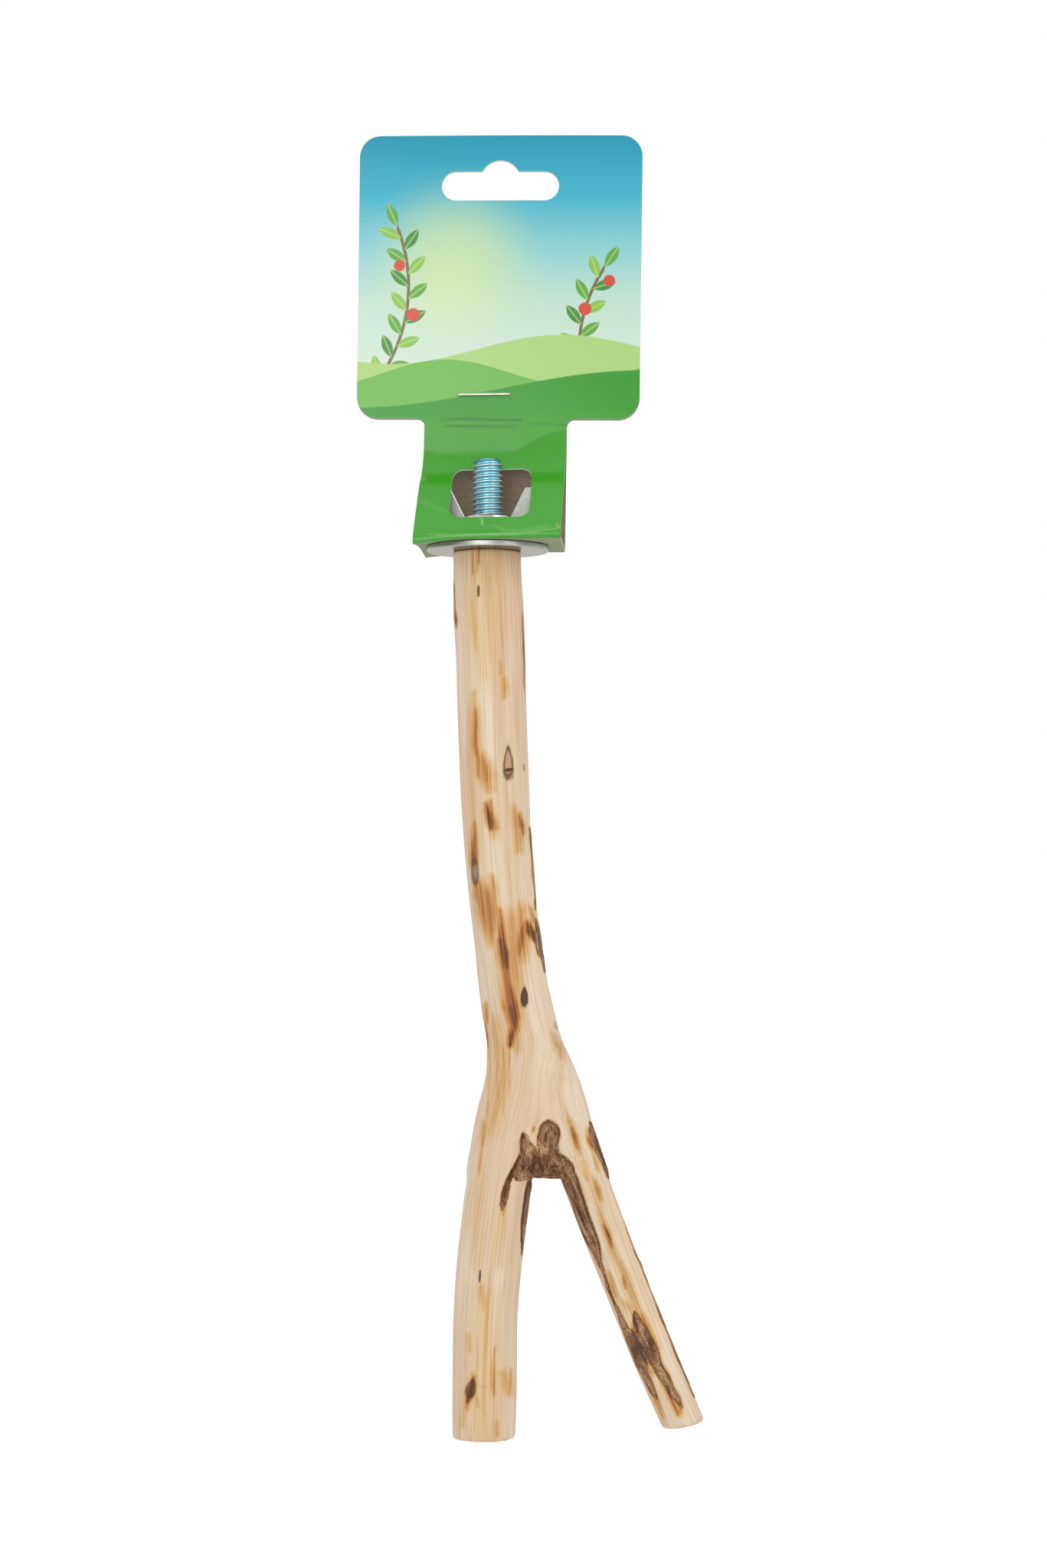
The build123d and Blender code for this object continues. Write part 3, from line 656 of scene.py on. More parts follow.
# Peeled hardwood: dry and satin, pale with fine lines along the grain. Sap and inner bark left see-through
# stains, so a stain multiplies the wood under it, and strips of fibrous bark stay on in the fork.
# Real fibres are finer than 0.1 mm: they are drawn about 0.5 mm wide so that they show.
peeledWood = {
    "cream": "#E6D4BB",
    "tan": "#DDC2A2",
    "blush": "#DFC3A9",
    "line": "#BC9166",
    "stainStops": [(0.0, "#FFFFFF"), (0.2, "#F6E2BC"), (0.42, "#E2BE84"), (0.62, "#CB9152"),
                   (0.82, "#936645"), (1.0, "#6F4E3B")],
    "barkStops": [(0.34, "#42261A"), (0.45, "#775035"), (0.55, "#9E6F4F"), (0.68, "#CB9F76")],
    "barkPale": "#CBA078",
    "barkDark": "#402617",
    "barkMoss": "#7A6442",
    "rim": "#4B3222",
    "strand": "#D3B48E",
    "knotAndShade": "#4D2E16",
    "knotFill": "#B4865F",
    "knotGrey": "#AD8F70",
    "lobe": "#A47A59",
    "endGrain": "#D9B48C",
    "patterns": {                      # mm across the grain, mm along it, detail
        "tone": (6.0, 80.0, 2.0),
        "blush": (10.0, 45.0, 2.0),
        "lines": (1.5, 60.0, 3.0),
        "fibres": (0.5, 30.0, 3.0),
        "plates": (1.3, 6.0, 4.0),
        "strands": (0.6, 9.0, 3.0),
        "moss": (3.0, 7.0, 2.0),
        "grit": (0.55, 1.2, 2.0),
    },
    "patternRoughness": 0.55,
    "speckle": (0.65, 3.0, 0.65),      # mm, with no direction, over the bark; detail and roughness
    # how strongly each pattern shows, from nothing at the first noise level to all at the second
    "spans": {
        "tone": (0.35, 0.65), "blush": (0.42, 0.66), "lines": (0.5, 0.7), "fibres": (0.5, 0.62),
        "strands": (0.53, 0.64), "moss": (0.52, 0.68), "grit": (0.52, 0.62), "speckle": (0.5, 0.58),
    },
    # bark and knots end in a ragged line: this pattern pushes the mark up and down by so much, and its span
    "ragged": {"bark": ("strands", 0.6, 0.72, 1.05), "knotAndShade": ("grit", 0.5, 0.6, 0.95)},
    "rimRise": (0.6, 0.9),             # levels of the ragged edge where the bark's rim rises and falls
    "rimFall": (1.28, 1.0),
    "rimBroken": (0.42, 0.58, 0.2),    # levels of the plates between which it thins, and what then stays
    "paler": (0.65, 0.18),             # strength of mark at which bark is palest, and by how much
    # what is laid over the wood, over the bark, and over both: the pattern, its strength and its colour
    "overWood": [("blush", 0.6, "blush"), ("lines", 0.24, "line"), ("fibres", 0.3, "line")],
    "overBark": [("moss", 0.35, "barkMoss"), ("strands", 0.5, "barkPale"), ("grit", 0.35, "barkDark"),
                 ("speckle", 0.52, "barkDark"), ("pale", 0.75, "strand")],
    # the knot marks laid over both as brown: real smears, and painted shade in the fork
    "overBoth": [("rim", 0.85, "rim"), ("smearAndShade", 0.8, "knotAndShade"), ("knotAndShade", 0.85, "knotAndShade")],
    "sawnShow": 0.75,
    "soak": [("lines", 0.78, 1.25), ("fibres", 0.76, 1.28)],    # least and most depth of a stain
    "soakSpan": (0.32, 0.68),
    "ringPitch": 1.3,                  # mm between the sawn ends' growth rings
    "ringBend": 9.0,
    "ringSpan": (-0.4, 1.0),
    "gloss": (0.55, 0.9),              # roughness of the wood and of the bark
    "fibreRelief": 0.15,               # beside the bark's
    "relief": (0.7, 0.0005),           # strength, and height in metres
    "knotWobble": 0.5,                 # the grit's share in a knot's edge, and where edge and rim then lie
    "knotEdge": (1.34, 1.1),
    "knotRim": 1.14,
    "knotFade": 0.5,                   # half heights over which a foot fades
    "knotSide": 0.3,                   # how sharply the front's and the back's knots part
    # knots over the picture, in its pixels: x, y, half width, half height, turn in degrees, taper towards the
    # top, strength and width of the rim, strength and colour of the fill, the foot below which it fades, in
    # half heights, and 1 for the front or -1 for the back
    "knots": [
        (663.7, 995.5, 6.0, 21.5, 0, 0.45, 0.9, 0.36, 0.75, "knotFill", 2, 1),
        (664.0, 1005.5, 5.4, 2.6, -8, 0, 0, 0.2, 0.95, "knotAndShade", 2, 1),
        (620.3, 1139, 4.4, 17, -2, 0, 0.75, 0.5, 0.4, "knotGrey", 2, 1),
        (684.5, 1302, 5.0, 13, 0, 0.2, 0.5, 0.4, 0.96, "knotAndShade", 2, 1),
        (624.6, 772, 1.8, 8.5, 0, 0, 0, 0.2, 0.9, "knotAndShade", 2, 1),
        (626.5, 1667, 1.7, 9.5, 3, 0, 0, 0.2, 0.85, "knotAndShade", 2, 1),
        (684.0, 1002.5, 1.4, 5, 0, 0, 0, 0.2, 0.5, "knotAndShade", 2, 1),
        (716.0, 1485, 13.5, 21, 4, -0.05, 0.8, 0.15, 0.55, "lobe", 0.6, 1),
        (715.5, 1488, 10, 18.5, 4, -0.05, 0.55, 0.1, 0, "lobe", 0.3, 1),
        (712.0, 1484, 1.9, 7.5, 5, 0, 0, 0.2, 0.85, "knotAndShade", 2, 1),
        (715.5, 1476.5, 1.1, 4, 10, 0, 0, 0.2, 0.8, "knotAndShade", 2, 1),
        (719.6, 1474, 1.1, 3.6, 0, 0, 0, 0.2, 0.8, "knotAndShade", 2, 1),
        (724.3, 1478, 1.3, 6, -8, 0, 0, 0.2, 0.75, "knotAndShade", 2, 1),
        (719.0, 1491, 3.2, 7, 0, 0, 0, 0.2, 0.4, "knotAndShade", 2, 1),
        (687.5, 1495, 7.5, 15, -10, 0.3, 0.6, 0.16, 0.5, "lobe", 0.5, 1),
        (683.0, 1483, 3.2, 5, 0, 0.4, 0, 0.2, 0.75, "knotAndShade", 2, 1),
        (615.0, 1813, 6.5, 12, 14, 0.3, 0.5, 0.35, 0.6, "knotAndShade", 2, 1),
        (630.5, 1028, 5.6, 19, 0, 0.3, 0.75, 0.24, 0.6, "knotFill", 2, -1),
        (652.0, 1224, 4.6, 12, 0, 0.2, 0.5, 0.4, 0.85, "knotAndShade", 2, -1),
        (612.0, 882, 2.6, 10, 0, 0, 0.5, 0.3, 0.7, "knotAndShade", 2, -1),
        (667.0, 1700, 3.2, 11, 0, 0, 0.5, 0.3, 0.7, "knotAndShade", 2, -1),
    ],
}


# Layers: pale wood under stains, then sawn ends, bark and its rim, and knots on top, each by its own share
def makePeeledWood():
    look = peeledWood
    material, tree, shader = startMaterial("peeledHardwood", IOR=1.5, Specular_IOR_Level=0.3)
    grain = addNode(tree, "Attribute", attribute_name="grain").outputs["Vector"]
    marked = {name: addNode(tree, "Attribute", attribute_name=name).outputs["Fac"]
              for name in (*frontMarks, "rings", "sawn")}

    # a colour laid over another by a share times a strength
    def layOver(under, share, strength, colour):
        share = addNode(tree, "Math", {0: share, 1: strength}, operation="MULTIPLY")
        return addNode(tree, "MixRGB", {"Fac": share, "Color1": under, "Color2": colour})

    noise = {}
    for name, (across, along, detail) in look["patterns"].items():
        scaled = addNode(tree, "Mapping", {"Vector": grain, "Scale": (1 / across, 1 / across, 1 / along)})
        noise[name] = addNode(tree, "TexNoise", {
            "Vector": scaled, "Scale": 1.0, "Detail": detail, "Roughness": look["patternRoughness"],
        }).outputs["Fac"]
    size, detail, roughness = look["speckle"]
    noise["speckle"] = addNode(tree, "TexNoise", {
        "Vector": addNode(tree, "TexCoord").outputs["Object"],
        "Scale": 1000 / size, "Detail": detail, "Roughness": roughness,
    }).outputs["Fac"]
    # the knot marks again, as a brown layer: real smears, and painted shade in the fork
    cover = {"pale": marked["pale"], "sawn": marked["sawn"], "smearAndShade": marked["knotAndShade"]}
    for name, (low, high) in look["spans"].items():
        cover[name] = addNode(tree, "MapRange", {
            "Value": noise[name], "From Min": low, "From Max": high,
        }, interpolation_type="SMOOTHSTEP")
    edge = {}
    for name, (rough, amount, low, high) in look["ragged"].items():
        edge[name] = addNode(tree, "Math", {
            0: noise[rough], 1: amount, 2: marked[name],
        }, operation="MULTIPLY_ADD")
        cover[name] = addNode(tree, "MapRange", {
            "Value": edge[name], "From Min": low, "From Max": high,
        }, interpolation_type="SMOOTHSTEP")
    # the bark's dark rim: a band that rises outside its edge and falls inside it, broken by the plates
    rise, fall = [addNode(tree, "MapRange", {"Value": edge["bark"], "From Min": low, "From Max": high})
                  for low, high in (look["rimRise"], look["rimFall"])]
    low, high, least = look["rimBroken"]
    broken = addNode(tree, "MapRange", {
        "Value": noise["plates"], "From Min": low, "From Max": high, "To Min": 1.0, "To Max": least,
    })
    band = addNode(tree, "Math", {0: rise, 1: fall}, operation="MULTIPLY")
    cover["rim"] = addNode(tree, "Math", {0: band, 1: broken}, operation="MULTIPLY")

    # bark: brown plates, lighter where the mark is weaker, under moss, pale strands, dark grit and speckles
    weakest, lift = look["paler"]
    paler = addNode(tree, "MapRange", {
        "Value": marked["bark"], "From Min": weakest, "From Max": 1.0, "To Min": lift, "To Max": 0.0,
    })
    plates = addNode(tree, "Math", {0: noise["plates"], 1: paler}, operation="ADD")
    bark = addNode(tree, "ValToRGB", {"Fac": plates}, stops=look["barkStops"])
    for name, strength, colour in look["overBark"]:
        bark = layOver(bark, cover[name], strength, ink(look[colour]))

    # wood: tone, blush, lines and fibres
    wood = addNode(tree, "MixRGB", {
        "Fac": cover["tone"], "Color1": ink(look["cream"]), "Color2": ink(look["tan"]),
    })
    busy = addNode(tree, "Math", {0: 1.0, 1: marked["plain"]}, operation="SUBTRACT")
    for name in ("lines", "fibres"):
        cover[name] = addNode(tree, "Math", {0: cover[name], 1: busy}, operation="MULTIPLY")
    for name, strength, colour in look["overWood"]:
        wood = layOver(wood, cover[name], strength, ink(look[colour]))

    # stains: deeper between the fibres, then a colour that multiplies the wood
    depth = marked["stain"]
    low, high = look["soakSpan"]
    for name, least, most in look["soak"]:
        soak = addNode(tree, "MapRange", {
            "Value": noise[name], "From Min": low, "From Max": high, "To Min": least, "To Max": most,
        })
        depth = addNode(tree, "Math", {0: depth, 1: soak}, operation="MULTIPLY")
    stain = addNode(tree, "ValToRGB", {"Fac": depth}, stops=look["stainStops"])
    wood = addNode(tree, "MixRGB", {"Fac": 1.0, "Color1": wood, "Color2": stain}, blend_type="MULTIPLY")

    # sawn ends: rings about the limb's middle, bent a little by the blush
    pace = 2 * math.pi / look["ringPitch"]
    turns = addNode(tree, "Math", {0: marked["rings"], 1: pace}, operation="MULTIPLY")
    bent = addNode(tree, "Math", {0: noise["blush"], 1: look["ringBend"], 2: turns}, operation="MULTIPLY_ADD")
    low, high = look["ringSpan"]
    wave = addNode(tree, "MapRange", {
        "Value": addNode(tree, "Math", {0: bent}, operation="SINE"), "From Min": low, "From Max": high,
    })
    ends = addNode(tree, "MixRGB", {
        "Fac": wave, "Color1": ink(look["endGrain"]), "Color2": ink(look["line"]),
    })
    wood = layOver(wood, cover["sawn"], look["sawnShow"], ends)
    wood = layOver(wood, cover["bark"], 1.0, bark)
    for name, strength, colour in look["overBoth"]:
        wood = layOver(wood, cover[name], strength, ink(look[colour]))

    # knots: ovals with a waist that narrows towards the top, whose edge wobbles with the grit
    place = addNode(tree, "Attribute", attribute_name="picture").outputs["Vector"]
    outer, inner = look["knotEdge"]
    fade, part = look["knotFade"], look["knotSide"]
    for x, y, wide, tall, turn, taper, rim, rimWidth, fill, tone, foot, side in look["knots"]:
        own = addNode(tree, "Mapping", {
            "Vector": place, "Location": (x, y, 0), "Rotation": (0, 0, math.radians(turn)),
            "Scale": (wide, tall, side),
        }, vector_type="TEXTURE")
        own = addNode(tree, "SeparateXYZ", {0: own}).outputs
        waist = addNode(tree, "Math", {0: own["Y"], 1: taper, 2: 1.0}, operation="MULTIPLY_ADD")
        across = addNode(tree, "Math", {0: own["X"], 1: waist}, operation="DIVIDE")
        oval = addNode(tree, "CombineXYZ", {"X": across, "Y": own["Y"]})
        away = addNode(tree, "VectorMath", {0: oval}, operation="LENGTH").outputs["Value"]
        away = addNode(tree, "Math", {
            0: noise["grit"], 1: look["knotWobble"], 2: away,
        }, operation="MULTIPLY_ADD")
        here = addNode(tree, "MapRange", {"Value": own["Z"], "From Min": -part, "From Max": part})
        above = addNode(tree, "MapRange", {"Value": own["Y"], "From Min": foot, "From Max": foot - fade})
        here = addNode(tree, "Math", {0: here, 1: above}, operation="MULTIPLY")
        filled = addNode(tree, "MapRange", {
            "Value": away, "From Min": outer, "From Max": inner, "To Max": fill,
        })
        off = addNode(tree, "Math", {0: away, 1: look["knotRim"]}, operation="SUBTRACT")
        off = addNode(tree, "Math", {0: off}, operation="ABSOLUTE")
        band = addNode(tree, "MapRange", {"Value": off, "From Min": rimWidth, "From Max": 0.0, "To Max": rim})
        wood = layOver(wood, filled, here, ink(look[tone]))
        wood = layOver(wood, band, here, ink(look["knotAndShade"]))
    tree.links.new(wood.outputs[0], shader.inputs["Base Color"])

    satin, matt = look["gloss"]
    gloss = addNode(tree, "MapRange", {"Value": cover["bark"], "To Min": satin, "To Max": matt})
    tree.links.new(gloss.outputs[0], shader.inputs["Roughness"])
    rough = addNode(tree, "Math", {0: noise["strands"], 1: noise["plates"]}, operation="ADD")
    rough = addNode(tree, "Math", {0: rough, 1: cover["bark"]}, operation="MULTIPLY")
    relief = addNode(tree, "Math", {
        0: noise["fibres"], 1: look["fibreRelief"], 2: rough,
    }, operation="MULTIPLY_ADD")
    strength, height = look["relief"]
    bump = addNode(tree, "Bump", {"Height": relief, "Strength": strength, "Distance": height})
    tree.links.new(bump.outputs["Normal"], shader.inputs["Normal"])
    return material


makeBranch()

# Card: one strip of coated board, folded round the hardware, with a double header
card = {
    "sheet": 0.46,            # a hair under the solid's 0.5, so that the washers on both sides clear it
    # its edge view, from the front's top round the hardware to the back's top: depth and height
    "profile": [(5.02, 112), (5.02, 20.9), (-2.7, 15.7), (-17.025, 1.7), (-17.025, 0.25), (17.025, 0.25),
                (5.62, 38.0), (5.62, 112)],
    "profileRadii": [9.0, 24.0, 0.75, 0.5, 0.6, 3.0],
    "header": 74.7,
    "headerCorner": 5.5,
    "headerCentre": (2.649, 71.45),
    "headerLean": 0.7,
    "neck": 37.6,
    "neckFillet": 2.0,
    "neckShift": 0.8,
    "neckLean": 1.5,
    "neckFoot": 30.0,         # height down to which the header's outline runs
    "bottomBelow": 0.26,      # what is lower than this is the flat bottom
    "yaw": -3.0,
    "slot": (31.0, 7.7, 13.3, 5.4, 2.9),     # length, height, drop, crown radius, crown rise
    "slotFlat": 0.01,                        # its ends are this much short of half circles
    "window": (20.8, 5.8, 20.4, 2.8),        # width, bottom, top, corner
    "studHole": 4.57,
    "bow": 0.5,               # the header's sides stand back by this, between these heights
    "bowSpan": (30, 60),
    "twistStart": 20.9,       # the panel starts to lean here, and by up to so much higher towards each side
    "twistHigh": 9.5,
    "twistHighSpan": (-4, 19),
    "twistLow": 4.5,
    "twistLowSpan": (-5, -17),
    "twistLean": 0.23,
    "washerReach": 15.9,      # past the washers, the bottom's left side sags by this share of the distance
    "sag": 0.15,
    "sagSpan": (6, -12),
    "sagHeight": (14, 1),
    "sharp": 50,              # degrees
    # points: their number on the slot's crown and the stud's hole, their spacing in mm on the outline, the
    # neck's sides, the slot and the window, and inside, where the header is flat, the panel creased and the
    # bottom plain
    "crownPoints": 10,
    "holePoints": 40,
    "outlineStep": 1.2,
    "sideStep": 0.8,
    "slotStep": 1.0,
    "windowStep": 0.7,
    "flatStep": 1.6,
    "creasedStep": 0.5,
    "creasedTop": 36.0,
    "bottomStep": 1.5,
    "meshReach": (-40, 46),
    "bendRow": (-20, 24, 1.1),    # a row of points on each piece of a bend, which is shorter than bendPiece
    "bendPiece": 2.0,
    "rimClear": 0.42,
    "leastArea": 2e-3,
}


# A line of points with its inner corners rounded: each corner becomes an arc that touches both its sides
def roundedPath(corners, radii, pieces=8):
    corners = [np.array(c, float) for c in corners]
    path = [corners[0]]
    for before, corner, after, radius in zip(corners, corners[1:], corners[2:], radii):
        back = (before - corner) / np.linalg.norm(before - corner)
        ahead = (after - corner) / np.linalg.norm(after - corner)
        half = math.acos(np.clip(back @ ahead, -1, 1)) / 2
        middle = corner + (back + ahead) / np.linalg.norm(back + ahead) * radius / math.sin(half)
        start = corner + back * radius / math.tan(half) - middle
        end = corner + ahead * radius / math.tan(half) - middle
        sweep = math.pi - 2 * half
        for t in np.linspace(0, 1, pieces + 1):
            turned = start * math.sin((1 - t) * sweep) + end * math.sin(t * sweep)
            path.append(middle + turned / math.sin(sweep))
    path.append(corners[-1])
    return np.array(path)


# Points along a line, about so far apart, keeping its corners
def divided(path, spacing, closed=False):
    path = np.concatenate([path, path[:1]]) if closed else path
    out = []
    for a, b in zip(path[:-1], path[1:]):
        n = max(1, int(round(np.linalg.norm(b - a) / spacing)))
        out += [a + (b - a) * i / n for i in range(n)]
    return np.array(out if closed else out + [path[-1]])


# Whether points lie inside a closed line: an odd number of its sides cross the ray to the right
def insideLoop(points, loop):
    x, y = points[:, :1], points[:, 1:]
    x0, y0 = loop[:, 0], loop[:, 1]
    x1, y1 = np.roll(x0, -1), np.roll(y0, -1)
    spans = (y0 > y) != (y1 > y)
    rise = np.where(y1 == y0, 1e-9, y1 - y0)
    return (spans & (x < x0 + (y - y0) * (x1 - x0) / rise)).sum(1) % 2 == 1


# The strip is meshed flat inside its outline and round its holes, then folded along its edge view into two
# faces that are a sheet apart, with a rim between them
def makeCard():
    path = roundedPath(card["profile"], card["profileRadii"])
    lengths = np.concatenate([[0], np.cumsum(np.linalg.norm(np.diff(path, axis=0), axis=1))])
    total = lengths[-1]
    topLine = card["profile"][0][1]
    neckSlant = math.tan(math.radians(card["neckLean"]))
    turn = -math.radians(card["headerLean"])
    turned = np.array([[math.cos(turn), math.sin(turn)], [-math.sin(turn), math.cos(turn)]])
    centre = np.array(card["headerCentre"])
    half = card["header"] / 2

    # one side of the front view, from the middle of the header's top edge down to the neck
    def outlineSide(side):
        top, topCorner, lowCorner, lowMiddle = np.array(
            [(0, half), (side * half, half), (side * half, -half), (0, -half)]) @ turned + centre
        slope = (lowMiddle - lowCorner)[1] / (lowMiddle - lowCorner)[0]
        edge = card["neckShift"] + side * card["neck"] / 2
        meetX = (edge + neckSlant * (lowCorner[1] - slope * lowCorner[0])) / (1 - neckSlant * slope)
        meet = np.array([meetX, lowCorner[1] + slope * (meetX - lowCorner[0])])
        foot = np.array([edge + neckSlant * card["neckFoot"], card["neckFoot"]])
        radii = [card["headerCorner"], card["headerCorner"], card["neckFillet"]]
        return divided(roundedPath([top, topCorner, lowCorner, meet, foot], radii), card["outlineStep"])

    # the strip laid flat: x, and s along its middle from the front's top to the back's top
    def onFront(loop):
        drop = np.interp(-loop[:, 1], -path[:front, 1], lengths[:front])
        return np.stack([loop[:, 0], drop], 1)

    def onBack(loop):
        return np.stack([loop[:, 0], np.interp(loop[:, 1], path[back:, 1], lengths[back:])], 1)

    bottom = np.flatnonzero(path[:, 1] < card["bottomBelow"])
    front, back = bottom[0], bottom[-1]
    right, left = outlineSide(1), outlineSide(-1)
    sideRuns = []
    step = card["sideStep"]
    for side in (1, -1):
        s = np.arange(onFront(right)[-1, 1] + step, onBack(right)[-1, 1] - step / 2, step)
        edge = card["neckShift"] + side * card["neck"] / 2 + neckSlant * np.interp(s, lengths, path[:, 1])
        sideRuns.append(np.stack([edge, s], 1))
    loop = np.concatenate([
        onFront(right), sideRuns[0], onBack(right)[::-1][:-1],
        onBack(left)[:-1], sideRuns[1][::-1], onFront(left)[::-1][:-1],
    ])
    # the hanging slot, the stud's window and the stud's hole
    length, height, drop, crown, crownRise = card["slot"]
    crownMiddle = height / 2 + crownRise - crown
    crownHalf = math.sqrt(crown ** 2 - (height / 2 - crownMiddle) ** 2)
    slotLine = roundedPath([
        (0, -height / 2), (length / 2, -height / 2), (length / 2, height / 2), (crownHalf, height / 2),
    ], [height / 2 - card["slotFlat"]] * 2)
    spread = math.asin(crownHalf / crown)
    arc = np.linspace(spread, 0, card["crownPoints"])[1:]
    slotLine = np.concatenate([
        slotLine, np.stack([crown * np.sin(arc), crownMiddle + crown * np.cos(arc)], 1),
    ])
    mirrored = slotLine[::-1][1:-1] * np.array([-1, 1])
    slotLine = np.concatenate([slotLine, mirrored]) + np.array([0, half - drop])
    slotLine = divided(slotLine @ turned + centre, card["slotStep"], closed=True)
    width, low, high, corner = card["window"]
    middleX = card["neckShift"] + neckSlant * (low + high) / 2
    windowLine = roundedPath([
        (0, low), (width / 2, low), (width / 2, high), (-width / 2, high), (-width / 2, low), (0, low),
    ], [corner] * 4)[:-1] + np.array([middleX, 0])
    windowLine = divided(windowLine, card["windowStep"], closed=True)
    angle = np.linspace(0, 2 * math.pi, card["holePoints"], endpoint=False)
    holeX, holeY = card["studHole"] * np.cos(angle), card["studHole"] * np.sin(angle)
    bottomRun = slice(front, back + 1)
    hole = np.stack([holeX, np.interp(holeY, path[bottomRun, 0], lengths[bottomRun])], 1)
    holes = [onFront(slotLine), onBack(slotLine), onFront(windowLine), hole]

    # points inside, closer where the strip bends or carries creases
    seeds = []
    creased = onFront(np.array([[0, card["creasedTop"]]]))[0, 1]
    parts = (
        (0, creased, card["flatStep"]),
        (creased, lengths[front] + 1, card["creasedStep"]),
        (lengths[front] + 1, lengths[back] - 1, card["bottomStep"]),
        (lengths[back] - 1, total, card["flatStep"]),
    )
    for start, end, step in parts:
        rows = np.arange(start, end, step)
        columns = np.arange(*card["meshReach"], step)
        seeds.append(np.stack(np.meshgrid(columns, rows + step / 2), 2).reshape(-1, 2))
    columns = np.arange(*card["bendRow"])
    for index in range(1, len(path) - 1):
        if np.linalg.norm(path[index] - path[index - 1]) < card["bendPiece"]:
            seeds.append(np.stack([columns, np.full(len(columns), lengths[index])], 1))
    seeds = np.concatenate(seeds)
    keep = insideLoop(seeds, loop)
    for ring in holes:
        keep &= ~insideLoop(seeds, ring)
    rims = np.concatenate([loop] + holes)
    seeds = seeds[keep]
    near = np.full(len(seeds), 1e9)
    for chunk in np.array_split(rims, 12):
        near = np.minimum(near, np.linalg.norm(seeds[:, None] - chunk[None], axis=2).min(1))
    seeds = seeds[near > card["rimClear"]]
    points, edges, count = [], [], 0
    for ring in [loop] + holes:
        edges += [(count + i, count + (i + 1) % len(ring)) for i in range(len(ring))]
        points.append(ring)
        count += len(ring)
    flat = np.concatenate(points + [seeds])
    result = delaunay_2d_cdt([Vector(p) for p in flat.tolist()], edges, [], 0, 1e-5)
    flat = np.array([(v.x, v.y) for v in result[0]])
    faces = np.array([face for face in result[2] if len(face) == 3])
    corners = flat[faces]
    middles = corners.mean(1)
    keep = insideLoop(middles, loop)
    for ring in holes:
        keep &= ~insideLoop(middles, ring)
    sides = corners[:, 1:] - corners[:, :1]
    area = np.abs(sides[:, 0, 0] * sides[:, 1, 1] - sides[:, 0, 1] * sides[:, 1, 0])
    keep &= area > card["leastArea"]
    used, faces = np.unique(faces[keep][:, ::-1], return_inverse=True)
    flat, faces = flat[used], faces.reshape(-1, 3)

    # fold it: y and z follow the strip's edge view, and each face stands half a sheet off the strip's middle
    x, s = flat[:, 0], flat[:, 1]
    tangent = np.gradient(path, lengths, axis=0)
    y, z, ty, tz = [np.interp(s, lengths, run) for run in (*path.T, *tangent.T)]
    stretch = np.hypot(ty, tz)
    panel = np.where(s < lengths[front], 0.0, np.where(s > lengths[back], 2.0, 1.0))
    y = y + card["bow"] * ramp(*card["bowSpan"], z) * ((x - centre[0]) / half) ** 2
    twist = card["twistHigh"] * ramp(*card["twistHighSpan"], x)
    twist = twist + card["twistLow"] * ramp(*card["twistLowSpan"], x)
    early = np.clip(card["twistStart"] + twist - z, 0, twist) * card["twistLean"]
    y = y - early * np.clip(z / card["twistStart"], 0, 1) * (panel == 0)
    overhang = np.maximum(np.hypot(x, y) - card["washerReach"], 0)
    z = z - card["sag"] * overhang * ramp(*card["sagSpan"], x) * ramp(*card["sagHeight"], z)
    skins = []
    yaw = math.radians(card["yaw"])
    for off in (0.5, -0.5):
        yOff, zOff = y + off * card["sheet"] * tz / stretch, z - off * card["sheet"] * ty / stretch
        skins.append(np.stack([
            x * math.cos(yaw) - yOff * math.sin(yaw), x * math.sin(yaw) + yOff * math.cos(yaw), zOff], 1))
    count = len(flat)
    ways = np.concatenate([faces[:, (0, 1)], faces[:, (1, 2)], faces[:, (2, 0)]])
    keys = np.sort(ways, 1) @ np.array([count, 1])
    single = np.isin(keys, [k for k, n in zip(*np.unique(keys, return_counts=True)) if n == 1])
    a, b = ways[single].T
    rim = np.stack([b, a, a + count, b + count], 1)
    allFaces = faces.tolist() + (faces[:, ::-1] + count).tolist() + rim.tolist()
    piece = makePiece("cardBoard", np.concatenate(skins), allFaces)
    layer = np.repeat([0, 1, 2], [len(faces), len(faces), len(a)])
    middle = s[faces].mean(1)
    # the bottom's outer face takes the darker board, whose colour paints the shade of the downturned
    # underside
    underside = np.flatnonzero((middle > lengths[front]) & (middle < lengths[back]))
    layer[underside] = 3
    piece.data.polygons.foreach_set("material_index", layer.astype(np.int32))
    piece.data.set_sharp_from_angle(angle=math.radians(card["sharp"]))
    run = np.where(s < total / 2, topLine - s, topLine - (total - s))
    place = np.stack([x - centre[0], run - centre[1], panel], 1)
    storeOnPoints(piece, "print", np.concatenate([place, place]))
    # scuffs, and the painted highlight and painted shade of the creases, stored for the print to lay over
    for name, marks in creaseMarks.items():
        wearAndPaintedLight = layMarks(seenAt(skins[0]), marks) * (panel == 0)
        storeOnPoints(piece, name, np.concatenate([wearAndPaintedLight, wearAndPaintedLight]))
    for material in (makePrintedBoard(), *[makeBareBoard(name) for name in bareBoards]):
        piece.data.materials.append(material)
    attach(piece, "card")
    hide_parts("header_card")
    print("card folded:", len(allFaces), "faces")


